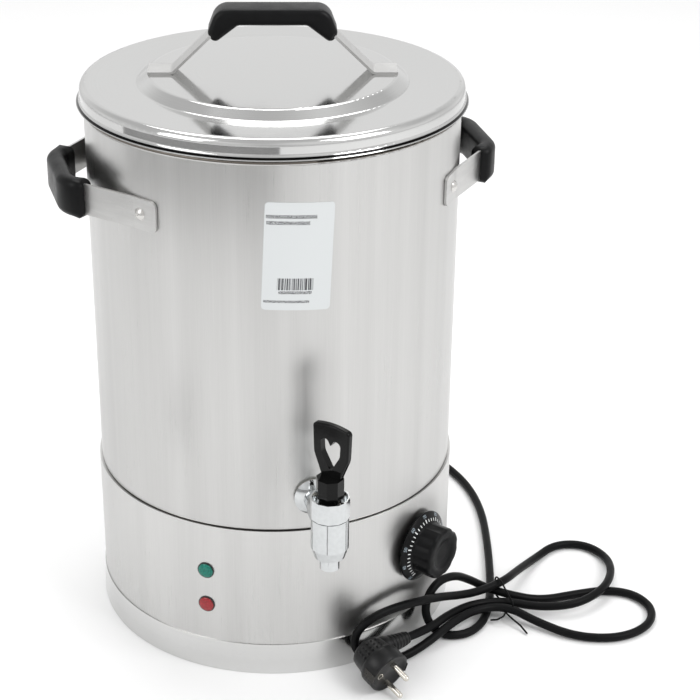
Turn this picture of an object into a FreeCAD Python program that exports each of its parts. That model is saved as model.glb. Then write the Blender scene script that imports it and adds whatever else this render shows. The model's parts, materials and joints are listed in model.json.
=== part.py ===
import FreeCAD, Part
import math
import os
import Sketcher
from FreeCAD import Placement, Rotation, Vector

# Electric water boiler: a steel urn with a lift-off lid, two side handles, a self-closing tap,
# a thermostat dial, two lamps and a mains lead.  Millimetres.  The origin is the centre of the
# flat underside, +Z is up and the tap looks along -Y.  An azimuth is counted from the tap
# towards +X, and a reach is a distance from the boiler's axis.

SIZES = {
    # tank
    "tank_radius": 150, "tank_wall": 1, "tank_bottom": 112, "floor_level": 122,
    "floor_sheet": 1.2, "floor_skirt": 9, "rim_level": 448, "bead_depth": 2.2,
    "bead_height": 4.4,
    # base casing and bottom pan
    "casing_radius": 152, "casing_wall": 0.8, "casing_top": 136.3, "casing_bottom": 14,
    "casing_lip": 0.8, "pan_top_radius": 152.7, "pan_foot_radius": 153.6, "pan_height": 27.8,
    "pan_sheet": 0.6, "bracket_width": 18, "bracket_sheet": 1.5, "bracket_height": 34,
    "bracket_reach": 126, "pan_screw_reach": 136, "pan_screw_radius": 2, "pan_screw_head": 3.8,
    # lid
    "lid_radius": 152.3, "lid_half_sheet": 0.4, "lid_flare_radius": 155.2, "lid_bottom": 448.8,
    "lid_flare_top": 452.2, "lid_shoulder": 463.9, "lid_groove_radius": 107.5,
    "lid_groove_level": 462.2, "lid_plateau_radius": 98, "lid_plateau_level": 468.9,
    "lid_corner": 5, "lid_turn": -11.2, "ring_radius": 148, "ring_bottom": 436,
    "ring_level": 448.7, "ring_top": 458,
    # lid handle
    "strap_width": 25, "strap_sheet": 2, "lid_strap_end": 98.3, "lid_strap_foot": 79,
    "lid_strap_corner": 34.4, "lid_strap_rise": 44, "strap_bend": 5, "lid_grip_top": 52,
    "lid_grip_under": 38.8, "lid_grip_arch": 27, "lid_grip_end": 50.8,
    "lid_grip_shoulder": 43.5, "lid_grip_bend": 13, "lid_grip_tip_top": 33,
    "lid_grip_tip_side": 46, "lid_grip_tip_level": 24.3, "lid_grip_width": 28,
    "lid_grip_edge": 3.2,
    # side handles
    "handle_level": 393, "handle_gap": 0.3, "handle_end": 50.3, "handle_lift": 58.2,
    "handle_reach": 172.3, "handle_corner": 29, "handle_bend": 21, "grip_arm": 18.5,
    "grip_depth": 14, "grip_height": 31, "grip_edge": 4.5, "strap_end_radius": 5,
    "rivet_azimuth": 56.3, "rivet_radius": 2.4, "rivet_head": 5, "rivet_dome": 2.6,
    "left_handle_turn": 183.8,
    # tap
    "tap_level": 167, "tap_reach": 209, "barrel_radius": 14.7, "barrel_bore": 11,
    "barrel_top": 183, "barrel_shoulder": 157, "barrel_foot": 148.3, "barrel_foot_radius": 12,
    "barrel_thread": 13.3, "thread_top": 187, "seat_level": 151, "spout_radius": 7.7,
    "spout_bore": 5.2, "spout_end": 137.4, "shank_radius": 8.8, "shank_bore": 5, "shank_end": 134,
    "neck_flat": 10.2, "neck_start": 176, "neck_end": 192, "flange_radius": 15.5,
    "flange_depth": 5.5, "collar_radius": 15.2,
    "collar_top": 200, "collar_mouth": 13.6, "web_level": 188, "web_top": 190,
    "gasket_radius": 13.5, "gasket_sheet": 2, "nut_depth": 6, "nut_across": 26,
    "pivot_level": 197, "pin_radius": 1.5, "pin_length": 29, "running_gap": 0.05,
    "lever_yaw": -49.2, "lever_flat": 10, "lever_tip": 7.5, "lever_bottom": 194,
    "lever_cone_top": 201, "lever_neck_top": 216.8, "lever_socket": 5, "paddle_top": 262.4,
    "paddle_corner": 258.4, "paddle_half": 16.8, "paddle_waist": 8.8, "paddle_depth": 5.6,
    "paddle_shift": 2.6, "paddle_edge": 1.4, "heart_tip": 221.7, "heart_half": 9.2,
    "heart_side": 236.2, "heart_top": 248.7, "heart_cleft": 243.2, "stem_radius": 2, "stem_bottom": 156,
    "stem_top": 191.5, "stem_head": 5, "stem_head_depth": 2.5, "cup_radius": 7,
    "cup_top": 160, "seat_gap": 0.2, "spring_radius": 4, "spring_wire": 0.6,
    "spring_turns": 6, "spring_gap": 0.4,
    # heating element
    "element_level": 137, "element_ring": 85, "element_tube": 4, "element_split": 18,
    "element_elbow": 12, "element_end": 100, "bushing_radius": 6.8, "bushing_flange": 9.5,
    "bushing_bottom": 109, "bushing_top": 126, "washer_sheet": 1.6, "bushing_nut": 19,
    "blade_width": 6.3, "blade_sheet": 0.8, "blade_length": 12, "cutout_radius": 8.5,
    "cutout_depth": 11, "cutout_across": 38, "cutout_back": 30,
    # dial and thermostat
    "dial_azimuth": 39.9, "dial_level": 87.8, "dial_skirt_radius": 30.6,
    "dial_skirt_reach": 155.3, "dial_skirt_edge": 1.6, "dial_skirt_depth": 5.6,
    "dial_skirt_top": 22.6, "dial_grip_radius": 21.6, "dial_tip_radius": 22,
    "dial_grip_end": 178.4, "dial_flutes": 8, "dial_flute_radius": 13, "dial_flute_depth": 1,
    "dial_dish": 13, "dial_dish_depth": 2, "shaft_radius": 3, "shaft_inner": 125,
    "shaft_outer": 170, "thermostat_side": 34, "thermostat_rear": 117,
    "thermostat_front": 149, "screw_side": 12, "screw_radius": 2, "screw_head": 3.5,
    "capillary_radius": 1.1, "bulb_radius": 3, "bulb_length": 60,
    # lamps
    "lamp_azimuth": -33.35, "green_level": 94, "red_level": 61.6, "lamp_hole": 6.25,
    "lamp_rim": 7.1, "lamp_lens": 5.2, "lamp_rear": 128, "lamp_recess": 149.5, "lamp_nut": 9.5,
    # terminals in the base
    "block_azimuth": 165, "block_level": 58, "block_length": 42, "block_height": 18,
    "block_rear": 128, "block_depth": 20.5, "block_pitch": 14, "clamp_reach": 135,
    "clamp_radius": 2, "clamp_depth": 9, "stud_azimuth": 185, "stud_level": 52,
    "stud_radius": 2.5, "stud_length": 16.9, "stud_nut": 5, "wire_radius": 1.3,
    "wire_pitch": 3, "wire_bend": 6,
    # mains lead
    "gland_azimuth": 140, "gland_level": 45, "gland_end": 178, "gland_radius": 8.2,
    "gland_tip": 5.4, "gland_thread": 6.5, "gland_head": 159, "gland_rear": 143,
    "gland_nut": 9.5, "cord_radius": 3.65, "tie_radius": 0.8, "tie_gap": 0.15,
    # plug, in its own axes: X along the lead, -Y along the pins
    "plug_yaw": 28.1, "plug_pitch": 6.3, "plug_roll": 13.9, "plug_radius": 18.5,
    "plug_step": 15, "plug_depth": 32.5, "plug_back_radius": 14.6, "plug_neck_side": 26.5,
    "plug_neck_end": 42.3, "plug_neck_tip": 5.4, "plug_neck_root": 9, "pin_pitch": 19,
    "plug_pin_radius": 2.4, "plug_pin_length": 19, "earth_width": 8, "earth_sheet": 0.8,
    "earth_side": 10, "earth_bore": 2.8,
    # sticker
    "label_azimuth": -4.5, "label_level": 372, "label_width": 52, "label_height": 86,
    "label_corner": 3, "label_sheet": 0.2, "label_tilt": -2.5,
}

# The lead from the gland to the plug: round the back on the table, a small loop standing
# against the casing, the tie, a loop, the tie, a turn behind the plug, the tie, a loop, the tie.
CORD_ROUTE = [
    (114.4, 136.4, 45), (130, 155, 45), (150, 171, 34), (173, 175, 17), (194, 163, 4.5),
    (206, 136, 3.8), (213, 98, 3.8), (211, 54, 3.8), (202, 10, 3.8), (192, -30, 3.8),
    (180, -72, 3.8), (168, -104, 3.8), (153, -128, 3.8), (133, -138, 3.8), (114, -131, 4),
    (105, -122, 16), (106, -119, 33), (118, -111, 44), (137, -99, 40), (154, -88, 26),
    (171, -86, 13.5), (188, -98, 11.6), (216, -103, 4.5), (252, -99, 3.8), (280, -99, 3.8),
    (302, -111, 3.8), (309, -136, 3.8), (295, -160, 3.8), (264, -171, 3.8), (228, -161, 3.8),
    (201, -135, 6), (181, -114, 11.4), (153, -113, 11.4), (127, -130, 13.5), (101, -148, 9.5),
    (77, -157, 3.8), (57, -158.5, 3.8), (36, -157.5, 14), (33, -156.5, 32), (47, -154, 45),
    (70, -147, 48), (98, -136, 44), (119, -120, 34), (138, -107, 24), (159, -98, 18.5),
    (185, -91, 21.2), (208, -64, 13), (234, -36, 3.8), (260, -17, 3.8), (287, -23, 3.8),
    (299, -48, 4.5), (292, -80, 9.5), (273, -109, 12.4), (242, -125, 11), (210, -117, 7.5),
    (181, -105.8, 11.4), (152, -104.5, 11.4), (127, -119, 14), (104, -139, 16.5), (80, -152, 19.7),
]

# The wire tie: its ring's corners as (forward, up) from the ring's middle, and its two tails.
TIE_MIDDLE = (182, -103)
TIE_AZIMUTH = 101.2
TIE_RING = [(-15.8, 6.2), (14.4, 7), (16.6, 14), (16.6, 25.6), (6.5, 25.6), (-15.8, 16)]
TIE_TAILS = [
    [(179, -118.5, 7.5), (182, -127, 6.5), (187, -135, 4), (190, -144, 1.5)],
    [(179, -118.5, 9.5), (175, -124, 8), (169, -124, 5.5), (165, -120, 3)],
]

DOC = FreeCAD.newDocument("WaterBoiler")
SHEET = DOC.addObject("Spreadsheet::Sheet", "Sizes")
SUBPARTS = []


# ---------------------------------------------------------------- general helpers

def fill_sheet():
    """Write each driving size to a cell of the sheet, with its name as alias."""
    for row, (name, value) in enumerate(SIZES.items(), start=1):
        SHEET.set(f"A{row}", name)
        SHEET.set(f"B{row}", str(value))
        SHEET.setAlias(f"B{row}", name)
    DOC.recompute()


def size(name):
    """A size as it stands in the sheet."""
    return float(SHEET.get(name))


def total(*terms):
    """Value and formula of a sum of named sizes (a leading - subtracts) and plain numbers."""
    value = 0.0
    formula = "0"
    for term in terms:
        if isinstance(term, str):
            name = term.lstrip("-")
            sign = -1 if term.startswith("-") else 1
            value += sign * size(name)
            formula += f" {'-' if sign < 0 else '+'} Sizes.{name}"
        else:
            value += term
            formula += f" + ({term})"
    return value, formula


def listed(value):
    """A tuple of terms from one term or several."""
    return value if isinstance(value, tuple) else (value,)


def done(piece, label):
    """Name a finished sub-part."""
    piece.Label = label
    SUBPARTS.append(piece)
    return piece


def outward(azimuth, level, reach=0.0):
    """A placement whose Z points away from the boiler's axis and whose Y points up."""
    angle = math.radians(azimuth)
    direction = Vector(math.sin(angle), -math.cos(angle), 0)
    sideways = Vector(math.cos(angle), math.sin(angle), 0)
    turn = Rotation(sideways, Vector(0, 0, 1), direction, "ZXY")
    return Placement(direction * reach + Vector(0, 0, level), turn)


def solid(kind, name, place=None, **sizes):
    """A Part primitive; a size given as a name or a tuple of terms is bound to the sheet."""
    item = DOC.addObject("Part::" + kind, name)
    for prop, given in sizes.items():
        if isinstance(given, (str, tuple)):
            item.setExpression(prop, total(*listed(given))[1])
        else:
            setattr(item, prop, given)
    if place:
        item.Placement = place
    return item


def joined(name, *pieces):
    """One solid of several."""
    item = DOC.addObject("Part::MultiFuse", name)
    item.Shapes = list(pieces)
    return item


def grouped(name, pieces):
    """Several separate solids as one object."""
    item = DOC.addObject("Part::Compound", name)
    item.Links = list(pieces)
    return item


def less(name, base, *tools):
    """A piece with one or more others cut out of it."""
    item = DOC.addObject("Part::Cut", name)
    item.Base = base
    item.Tool = tools[0] if len(tools) == 1 else grouped(name + "_tools", tools)
    return item


def shaped(name, shape, place=None):
    """A piece whose shape is worked out in code."""
    item = DOC.addObject("Part::Feature", name)
    item.Shape = shape
    if place:
        item.Placement = place
    return item


def plane_of(body, role):
    """One of a body's own origin planes."""
    return [item for item in body.Origin.OriginFeatures if item.Role == role][0]


def sketch_on(body, role, name):
    """An empty sketch on one of the body's origin planes."""
    sketch = body.newObject("Sketcher::SketchObject", name)
    sketch.AttachmentSupport = [(plane_of(body, role), "")]
    sketch.MapMode = "FlatFace"
    return sketch


def bound_outline(sketch, corners):
    """A closed outline whose corners are tied to the sheet, each as (across, up) terms."""
    spots = [[total(*listed(term)) for term in corner] for corner in corners]
    points = [Vector(across[0], up[0], 0) for across, up in spots]
    count = len(points)
    for i in range(count):
        sketch.addGeometry(Part.LineSegment(points[i], points[(i + 1) % count]), False)
    for i in range(count):
        sketch.addConstraint(Sketcher.Constraint("Coincident", i, 2, (i + 1) % count, 1))
    for i, pair in enumerate(spots):
        for kind, axis, (value, formula) in zip(("DistanceX", "DistanceY"), (-2, -1), pair):
            if abs(value) < 1e-9:
                sketch.addConstraint(Sketcher.Constraint("PointOnObject", i, 1, axis))
                continue
            number = sketch.addConstraint(Sketcher.Constraint(kind, -1, 1, i, 1, value))
            sketch.setExpression(f"Constraints[{number}]", formula)


def flat(point):
    """A 3-D vector from a point of two or three numbers."""
    return Vector(*point) if len(point) == 3 else Vector(point[0], point[1], 0)


def rounded(points, radii, closed=False):
    """Straight runs joined by tangent arcs; a radius of 0 leaves a corner sharp."""
    spots = [flat(point) for point in points]
    count = len(spots)
    ends = []
    for i, spot in enumerate(spots):
        if radii[i] == 0 or (not closed and i in (0, count - 1)):
            ends.append((spot, None, spot))
            continue
        back = (spots[i - 1] - spot).normalize()
        ahead = (spots[(i + 1) % count] - spot).normalize()
        half_turn = (math.pi - back.getAngle(ahead)) / 2
        run = radii[i] * math.tan(half_turn)
        bisector = (back + ahead).normalize()
        middle = spot + bisector * (radii[i] / math.cos(half_turn) - radii[i])
        ends.append((spot + back * run, middle, spot + ahead * run))
    edges = []
    for i in range(count):
        if ends[i][1] is not None:
            edges.append(Part.Arc(*ends[i]))
        if i < count - 1 or closed:
            edges.append(Part.LineSegment(ends[i][2], ends[(i + 1) % count][0]))
    return edges


def strip(points, radii, half):
    """The closed outline of a bent strip about its middle line, and the radius at each corner."""
    spots = [flat(point) for point in points]
    runs = [(b - a).normalize() for a, b in zip(spots, spots[1:])]
    runs = [runs[0]] + runs + [runs[-1]]
    left, right = [], []
    for spot, before, after, radius in zip(spots, runs, runs[1:], radii):
        side = Vector(-before.y - after.y, before.x + after.x, 0)
        shift = side * (half / (1 + before.dot(after)))
        turn = before.cross(after).z
        sign = 0 if radius == 0 else (1 if turn > 0 else -1)
        left.append((spot + shift, radius - sign * half))
        right.append((spot - shift, radius + sign * half))
    outline = left + right[::-1]
    return [(p.x, p.y) for p, _ in outline], [radius for _, radius in outline]


def drawn_outline(sketch, points, radii):
    """A closed outline with rounded corners in a sketch."""
    for edge in rounded(points, radii, closed=True):
        sketch.addGeometry(edge, False)


def revolved(name, corners=None, drawn=None):
    """A body turned about Z from an outline of reach and height."""
    body = DOC.addObject("PartDesign::Body", name)
    sketch = sketch_on(body, "XZ_Plane", name + "_profile")
    if corners:
        bound_outline(sketch, corners)
    else:
        drawn_outline(sketch, *drawn)
    turn = body.newObject("PartDesign::Revolution", name + "_turn")
    turn.Profile = sketch
    turn.ReferenceAxis = (sketch, ["V_Axis"])
    turn.Angle = 360
    return body


def padded(name, role, drawn, length):
    """A body padded both ways from a drawn outline; its length is bound to the sheet."""
    body = DOC.addObject("PartDesign::Body", name)
    sketch = sketch_on(body, role, name + "_outline")
    drawn_outline(sketch, *drawn)
    pad = body.newObject("PartDesign::Pad", name + "_pad")
    pad.Profile = sketch
    pad.Midplane = True
    pad.setExpression("Length", total(*listed(length))[1])
    DOC.recompute()
    return body


def softened(body, radius, edges):
    """Round some edges of a body."""
    base = body.Tip
    fillet = body.newObject("PartDesign::Fillet", body.Name + "_edges")
    fillet.Base = (base, edges)
    fillet.setExpression("Radius", total(*listed(radius))[1])
    body.Tip = fillet
    DOC.recompute()


def hexagon(name, across, depth, hole, place):
    """A hexagonal nut with a plain hole."""
    blank = solid("Prism", name + "_blank", Polygon=6, Height=depth)
    blank.setExpression("Circumradius", f"({total(*listed(across))[1]}) / sqrt(3)")
    bore = solid("Cylinder", name + "_bore", Radius=hole, Height=200)
    bore.Placement = Placement(Vector(0, 0, -100), Rotation())
    nut = less(name, blank, bore)
    nut.Placement = place
    return nut


def ring(name, outer, inner, depth, place):
    """A plain washer or sleeve."""
    blank = solid("Cylinder", name + "_blank", Radius=outer, Height=depth)
    bore = solid("Cylinder", name + "_bore", Radius=inner, Height=400)
    bore.Placement = Placement(Vector(0, 0, -200), Rotation())
    item = less(name, blank, bore)
    item.Placement = place
    return item


def lifted(place, along):
    """A placement moved along its own Z."""
    return place.multiply(Placement(Vector(0, 0, along), Rotation()))


def tube(points, radii, radius):
    """A round tube along straight runs and tangent arcs."""
    path = Part.Wire([edge.toShape() for edge in rounded(points, radii)])
    start = path.Edges[0]
    heading = start.tangentAt(start.FirstParameter)
    circle = Part.Wire([Part.makeCircle(radius, flat(points[0]), heading)])
    pipe = path.makePipeShell([circle], True, False)
    return pipe, path.Length


def route_radii(points):
    """Arc radii of a free lead: 0.45 of the shorter run over the tangent of half the turn."""
    spots = [flat(point) for point in points]
    radii = [0.0]
    for before, spot, after in zip(spots, spots[1:], spots[2:]):
        back = spot - before
        ahead = after - spot
        half_turn = back.getAngle(ahead) / 2
        radii.append(0.45 * min(back.Length, ahead.Length) / math.tan(half_turn))
    return radii + [0.0]


# ---------------------------------------------------------------- tank, casing and pan

def tank_shell():
    """The welded tank wall with a rolled bead under its rim and holes for the tap and rivets."""
    inner = size("tank_radius") - size("tank_wall")
    bead = size("tank_radius") + size("bead_depth")
    foot = size("rim_level") - size("bead_height")
    outline = [
        (inner, size("tank_bottom")), (size("tank_radius"), size("tank_bottom")),
        (size("tank_radius"), foot), (bead, foot), (bead, size("rim_level")),
        (inner, size("rim_level"))]
    wall = revolved("tank_wall_blank", drawn=(outline, [0, 0, 0, 2, 2, 0]))
    holes = [solid("Cylinder", "tank_tap_hole", outward(0, size("tap_level")),
                   Radius=("shank_radius", "running_gap"), Height=160)]
    for i, azimuth in enumerate(rivet_azimuths()):
        place = outward(azimuth, size("handle_level"))
        holes.append(solid("Cylinder", f"tank_rivet_hole_{i}", place,
                           Radius="rivet_radius", Height=160))
    return done(less("tank_shell", wall, *holes), "tank_shell")


def element_legs():
    """Where the element's two legs go down through the tank floor."""
    split = math.radians(size("element_split"))
    reach = size("element_ring")
    elbow = size("element_elbow")
    across = reach * math.sin(split) - elbow * math.cos(split)
    back = reach * math.cos(split) + elbow * math.sin(split)
    return [(-across, back), (across, back)]


def tank_floor():
    """A pressed disc welded into the tank, with holes for the element's bushings."""
    under = ("floor_level", "-floor_sheet")
    rim = ("tank_radius", "-tank_wall")
    inner = ("tank_radius", "-tank_wall", "-floor_sheet")
    low = ("floor_level", "-floor_skirt")
    disc = revolved("floor_disc", [
        (0, under), (inner, under), (inner, low), (rim, low), (rim, "floor_level"),
        (0, "floor_level")])
    holes = [solid("Cylinder", f"floor_hole_{i}", Placement(Vector(x, y, 0), Rotation()),
                   Radius="bushing_radius", Height=200) for i, (x, y) in enumerate(element_legs())]
    return done(less("tank_floor", disc, *holes), "tank_floor")


def base_casing():
    """The outer sleeve round the wiring space, turned in at its top edge to the tank."""
    inner = ("casing_radius", "-casing_wall")
    sleeve = revolved("casing_sleeve", [
        (inner, "casing_bottom"), ("casing_radius", "casing_bottom"),
        ("casing_radius", "casing_top"), ("tank_radius", "casing_top"),
        ("tank_radius", ("casing_top", "-casing_lip")), (inner, ("casing_top", "-casing_lip"))])
    spots = [("lamp_azimuth", "green_level", "lamp_hole"), ("lamp_azimuth", "red_level", "lamp_hole"),
             ("gland_azimuth", "gland_level", "gland_thread"), ("dial_azimuth", "dial_level", 4.2)]
    holes = [solid("Cylinder", f"casing_hole_{i}", outward(size(azimuth), size(level)),
                   Radius=radius, Height=170) for i, (azimuth, level, radius) in enumerate(spots)]
    for i, place in enumerate(thermostat_screw_places()):
        holes.append(solid("Cylinder", f"casing_screw_hole_{i}", place,
                           Radius=("screw_radius", "running_gap"), Height=170))
    return done(less("base_casing", sleeve, *holes), "base_casing")


def bracket_azimuths():
    """Four brackets, clear of the dial, the lamps and the gland."""
    return [5 + 90 * i for i in range(4)]


def bottom_pan():
    """The polished pan the boiler stands on, with countersunk holes in its flat floor."""
    inner_top = ("pan_top_radius", "-pan_sheet")
    inner_foot = ("pan_foot_radius", "-pan_sheet")
    pan = revolved("pan_dish", [
        (0, 0), ("pan_foot_radius", 0), ("pan_top_radius", "pan_height"),
        (inner_top, "pan_height"), (inner_foot, ("pan_sheet", "pan_sheet")),
        (0, ("pan_sheet", "pan_sheet"))])
    sinks = []
    for i, azimuth in enumerate(bracket_azimuths()):
        place = outward(azimuth, 0, size("pan_screw_reach"))
        place.Rotation = Rotation()
        sinks.append(solid("Cone", f"pan_sink_{i}", place, Radius1="pan_screw_head",
                           Radius2="pan_screw_radius", Height=1.2))
    return done(less("bottom_pan", pan, *sinks), "bottom_pan")


def pan_brackets():
    """Angle brackets welded to the casing, which the pan's screws go up into."""
    brackets = []
    floor_top = 2 * size("pan_sheet")
    corner = Vector(-size("bracket_width") / 2, -size("casing_radius"), floor_top)
    sleeve = solid("Cylinder", "bracket_limit", Radius=("casing_radius", "-casing_wall"),
                   Height=100)
    for i, azimuth in enumerate(bracket_azimuths()):
        foot = solid("Box", f"bracket_foot_{i}", Placement(corner, Rotation()),
                     Length="bracket_width", Width=("casing_radius", "-bracket_reach"),
                     Height="bracket_sheet")
        leg = solid("Box", f"bracket_leg_{i}", Placement(corner, Rotation()),
                    Length="bracket_width", Width=3, Height="bracket_height")
        hole = solid("Cylinder", f"bracket_hole_{i}", outward(0, 0, size("pan_screw_reach")),
                     Radius="pan_screw_radius", Height=20)
        hole.Placement.Rotation = Rotation()
        angle = less(f"bracket_angle_{i}", joined(f"bracket_both_{i}", foot, leg), hole)
        trimmed = DOC.addObject("Part::Common", f"bracket_{i}")
        trimmed.Base = angle
        trimmed.Tool = sleeve
        trimmed.Placement = Placement(Vector(), Rotation(Vector(0, 0, 1), azimuth))
        brackets.append(trimmed)
    return done(grouped("pan_brackets", brackets), "pan_brackets")


def pan_screws():
    """Countersunk screws that hold the pan to the brackets."""
    screws = []
    for i, azimuth in enumerate(bracket_azimuths()):
        place = outward(azimuth, 0, size("pan_screw_reach"))
        place.Rotation = Rotation()
        head = solid("Cone", f"pan_screw_head_{i}", place, Radius1="pan_screw_head",
                     Radius2="pan_screw_radius", Height=1.2)
        shank = solid("Cylinder", f"pan_screw_shank_{i}", place, Radius="pan_screw_radius",
                      Height=9)
        screws.append(joined(f"pan_screw_{i}", head, shank))
    return done(grouped("pan_screws", screws), "pan_screws")


# ---------------------------------------------------------------- lid

def lid_place():
    """The lid's parts stand on its plateau, turned with it."""
    level = size("lid_plateau_level") + size("lid_half_sheet")
    return Placement(Vector(0, 0, level), Rotation(Vector(0, 0, 1), size("lid_turn")))


def lid_shell():
    """A spun lid: raised middle, shallow groove, rounded shoulder and a flared skirt."""
    middle_line = [
        (0, size("lid_plateau_level")),
        (size("lid_plateau_radius"), size("lid_plateau_level")),
        (size("lid_groove_radius"), size("lid_groove_level")),
        (size("lid_radius"), size("lid_shoulder")),
        (size("lid_radius"), size("lid_flare_top")),
        (size("lid_flare_radius"), size("lid_bottom"))]
    radii = [0, 4, 3, size("lid_corner"), 3, 0]
    outline = strip(middle_line, radii, size("lid_half_sheet"))
    return done(revolved("lid_shell", drawn=outline), "lid_shell")


def lid_locating_ring():
    """A ring in the lid: its ledge rests on the tank's rim and its wall hangs inside."""
    half = size("lid_half_sheet")
    outer = size("lid_radius") - 2 * half
    middle_line = [
        (size("ring_radius"), size("ring_bottom")), (size("ring_radius"), size("ring_level")),
        (outer, size("ring_level")), (outer, size("ring_top"))]
    outline = strip(middle_line, [0, 0.9, 0.9, 0], half)
    return done(revolved("lid_locating_ring", drawn=outline), "lid_locating_ring")


def lid_handle_strap():
    """The bent strap that is spot-welded to the plateau at both feet."""
    foot = size("strap_sheet") / 2
    middle_line = [
        (-size("lid_strap_end"), foot), (-size("lid_strap_foot"), foot),
        (-size("lid_strap_corner"), size("lid_strap_rise")),
        (size("lid_strap_corner"), size("lid_strap_rise")),
        (size("lid_strap_foot"), foot), (size("lid_strap_end"), foot)]
    bend = size("strap_bend")
    outline = strip(middle_line, [0, bend, bend, bend, bend, 0], foot)
    strap = padded("lid_handle_strap", "XZ_Plane", outline, "strap_width")
    strap.Placement = lid_place()
    return done(strap, "lid_handle_strap")


def lid_grip(strap):
    """The moulded grip over the strap, with a flat top and ends that follow the legs."""
    half = [
        (size("lid_grip_shoulder"), size("lid_grip_top"), size("lid_grip_bend")),
        (size("lid_grip_end"), size("lid_grip_tip_top"), 3.5),
        (size("lid_grip_tip_side"), size("lid_grip_tip_level"), 3.5),
        (size("lid_grip_arch"), size("lid_grip_under"), 6)]
    corners = half + [(-x, z, radius) for x, z, radius in reversed(half)]
    outline = [(x, z) for x, z, _ in corners], [radius for _, _, radius in corners]
    blank = padded("lid_grip_blank", "XZ_Plane", outline, "lid_grip_width")
    softened(blank, "lid_grip_edge", side_edges(blank, "y"))
    blank.Placement = lid_place()
    return done(less("lid_grip", blank, strap), "lid_grip")


# ---------------------------------------------------------------- side handles

def rivet_azimuths():
    """One rivet at each end of the right handle, then of the left one."""
    right = [size("rivet_azimuth"), 180 - size("rivet_azimuth")]
    return right + [azimuth + size("left_handle_turn") for azimuth in right]


def on_circle(azimuth, reach, along=0.0):
    """A point of the plan at a reach from the axis, moved along the tangent."""
    angle = math.radians(azimuth)
    return (reach * math.sin(angle) + along * math.cos(angle),
            -reach * math.cos(angle) + along * math.sin(angle))


def handle_half_line():
    """The strap's middle line from its end on the tank to the grip's corner."""
    reach = size("tank_radius") + size("handle_gap") + size("strap_sheet") / 2
    start, lift = size("handle_end"), size("handle_lift")
    middle = (start + lift) / 2
    spread = reach / math.cos(math.radians(lift - middle))
    return [on_circle(start, reach), on_circle(middle, spread), on_circle(lift, reach, 1.6),
            (size("handle_reach"), -size("handle_corner"))], [0, reach, 8, size("handle_bend")]


def side_edges(body, axis):
    """Names of the edges that lie in the two outermost planes across an axis."""
    box = body.Tip.Shape.BoundBox
    limits = {"y": (box.YMin, box.YMax), "z": (box.ZMin, box.ZMax)}[axis]
    names = []
    for i, edge in enumerate(body.Tip.Shape.Edges):
        spots = [getattr(vertex, axis.upper()) for vertex in edge.Vertexes]
        if any(all(abs(spot - limit) < 1e-4 for spot in spots) for limit in limits):
            names.append(f"Edge{i + 1}")
    return names


def end_edges(body, length):
    """Names of the straight edges of one length that cross a strap's sheet at its ends."""
    return [f"Edge{i + 1}" for i, edge in enumerate(body.Tip.Shape.Edges)
            if abs(edge.Length - length) < 1e-3 and isinstance(edge.Curve, Part.Line)]


def handle_place(side):
    """The right handle is turned about the boiler's axis for the left one."""
    turn = 0 if side == "right" else size("left_handle_turn")
    return Placement(Vector(0, 0, size("handle_level")), Rotation(Vector(0, 0, 1), turn))


def handle_strap(side):
    """The steel strap of a side handle, riveted to the tank at both ends."""
    name = "handle_strap_" + side
    half_line, half_radii = handle_half_line()
    line = half_line + [(x, -y) for x, y in reversed(half_line)]
    outline = strip(line, half_radii + half_radii[::-1], size("strap_sheet") / 2)
    blank = padded(name + "_blank", "XY_Plane", outline, "strap_width")
    softened(blank, "strap_end_radius", end_edges(blank, size("strap_sheet")))
    blank.Placement = handle_place(side)
    shift = 0 if side == "right" else 2
    holes = [solid("Cylinder", f"{name}_hole_{i}", outward(azimuth, size("handle_level")),
                   Radius="rivet_radius", Height=160)
             for i, azimuth in enumerate(rivet_azimuths()[shift:shift + 2])]
    return done(less(name, blank, *holes), name)


def side_grip(side, strap):
    """The moulded grip over the middle of a side handle's strap."""
    name = "grip_" + side
    half_line, half_radii = handle_half_line()
    corner = flat(half_line[3])
    back = (flat(half_line[2]) - corner).normalize()
    end = corner + back * size("grip_arm")
    line = [(end.x, end.y), half_line[3], (corner.x, -corner.y), (end.x, -end.y)]
    outline = strip(line, [0, half_radii[3], half_radii[3], 0], size("grip_depth") / 2)
    blank = padded(name + "_blank", "XY_Plane", outline, "grip_height")
    softened(blank, "grip_edge", side_edges(blank, "z"))
    blank.Placement = handle_place(side)
    return done(less(name, blank, strap), name)


def dome(name, radius, height, place):
    """A cap of a sphere on a flat base."""
    ball = (radius ** 2 + height ** 2) / (2 * height)
    cap = solid("Sphere", name, lifted(place, height - ball), Radius=ball, Angle2=90)
    cap.Angle1 = math.degrees(math.asin((ball - height) / ball))
    return cap


def handle_rivets():
    """Dome-headed rivets with a flat head inside the tank."""
    rivets = []
    strap_face = size("tank_radius") + size("handle_gap") + size("strap_sheet")
    inside = size("tank_radius") - size("tank_wall") - 0.1
    for i, azimuth in enumerate(rivet_azimuths()):
        place = outward(azimuth, size("handle_level"))
        head = dome(f"rivet_head_{i}", size("rivet_head"), size("rivet_dome"),
                    lifted(place, strap_face))
        shank = solid("Cylinder", f"rivet_shank_{i}", lifted(place, inside - 1),
                      Radius="rivet_radius", Height=strap_face - inside + 2)
        tail = solid("Cylinder", f"rivet_tail_{i}", lifted(place, inside - 1.2),
                     Radius=("rivet_head", -1), Height=1.2)
        rivets.append(joined(f"rivet_{i}", head, shank, tail))
    return done(grouped("handle_rivets", rivets), "handle_rivets")


# ---------------------------------------------------------------- tap

def tap_axis(level=0.0):
    """A point on the barrel's upright axis, turned with the lever."""
    turn = Rotation(Vector(0, 0, 1), size("lever_yaw"))
    return Placement(Vector(0, -size("tap_reach"), level), turn)


def tank_cylinder(name, radius):
    """A tall cylinder on the boiler's axis, for shaping what lies against the tank."""
    return solid("Cylinder", name, Radius=radius, Height=300)


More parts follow.
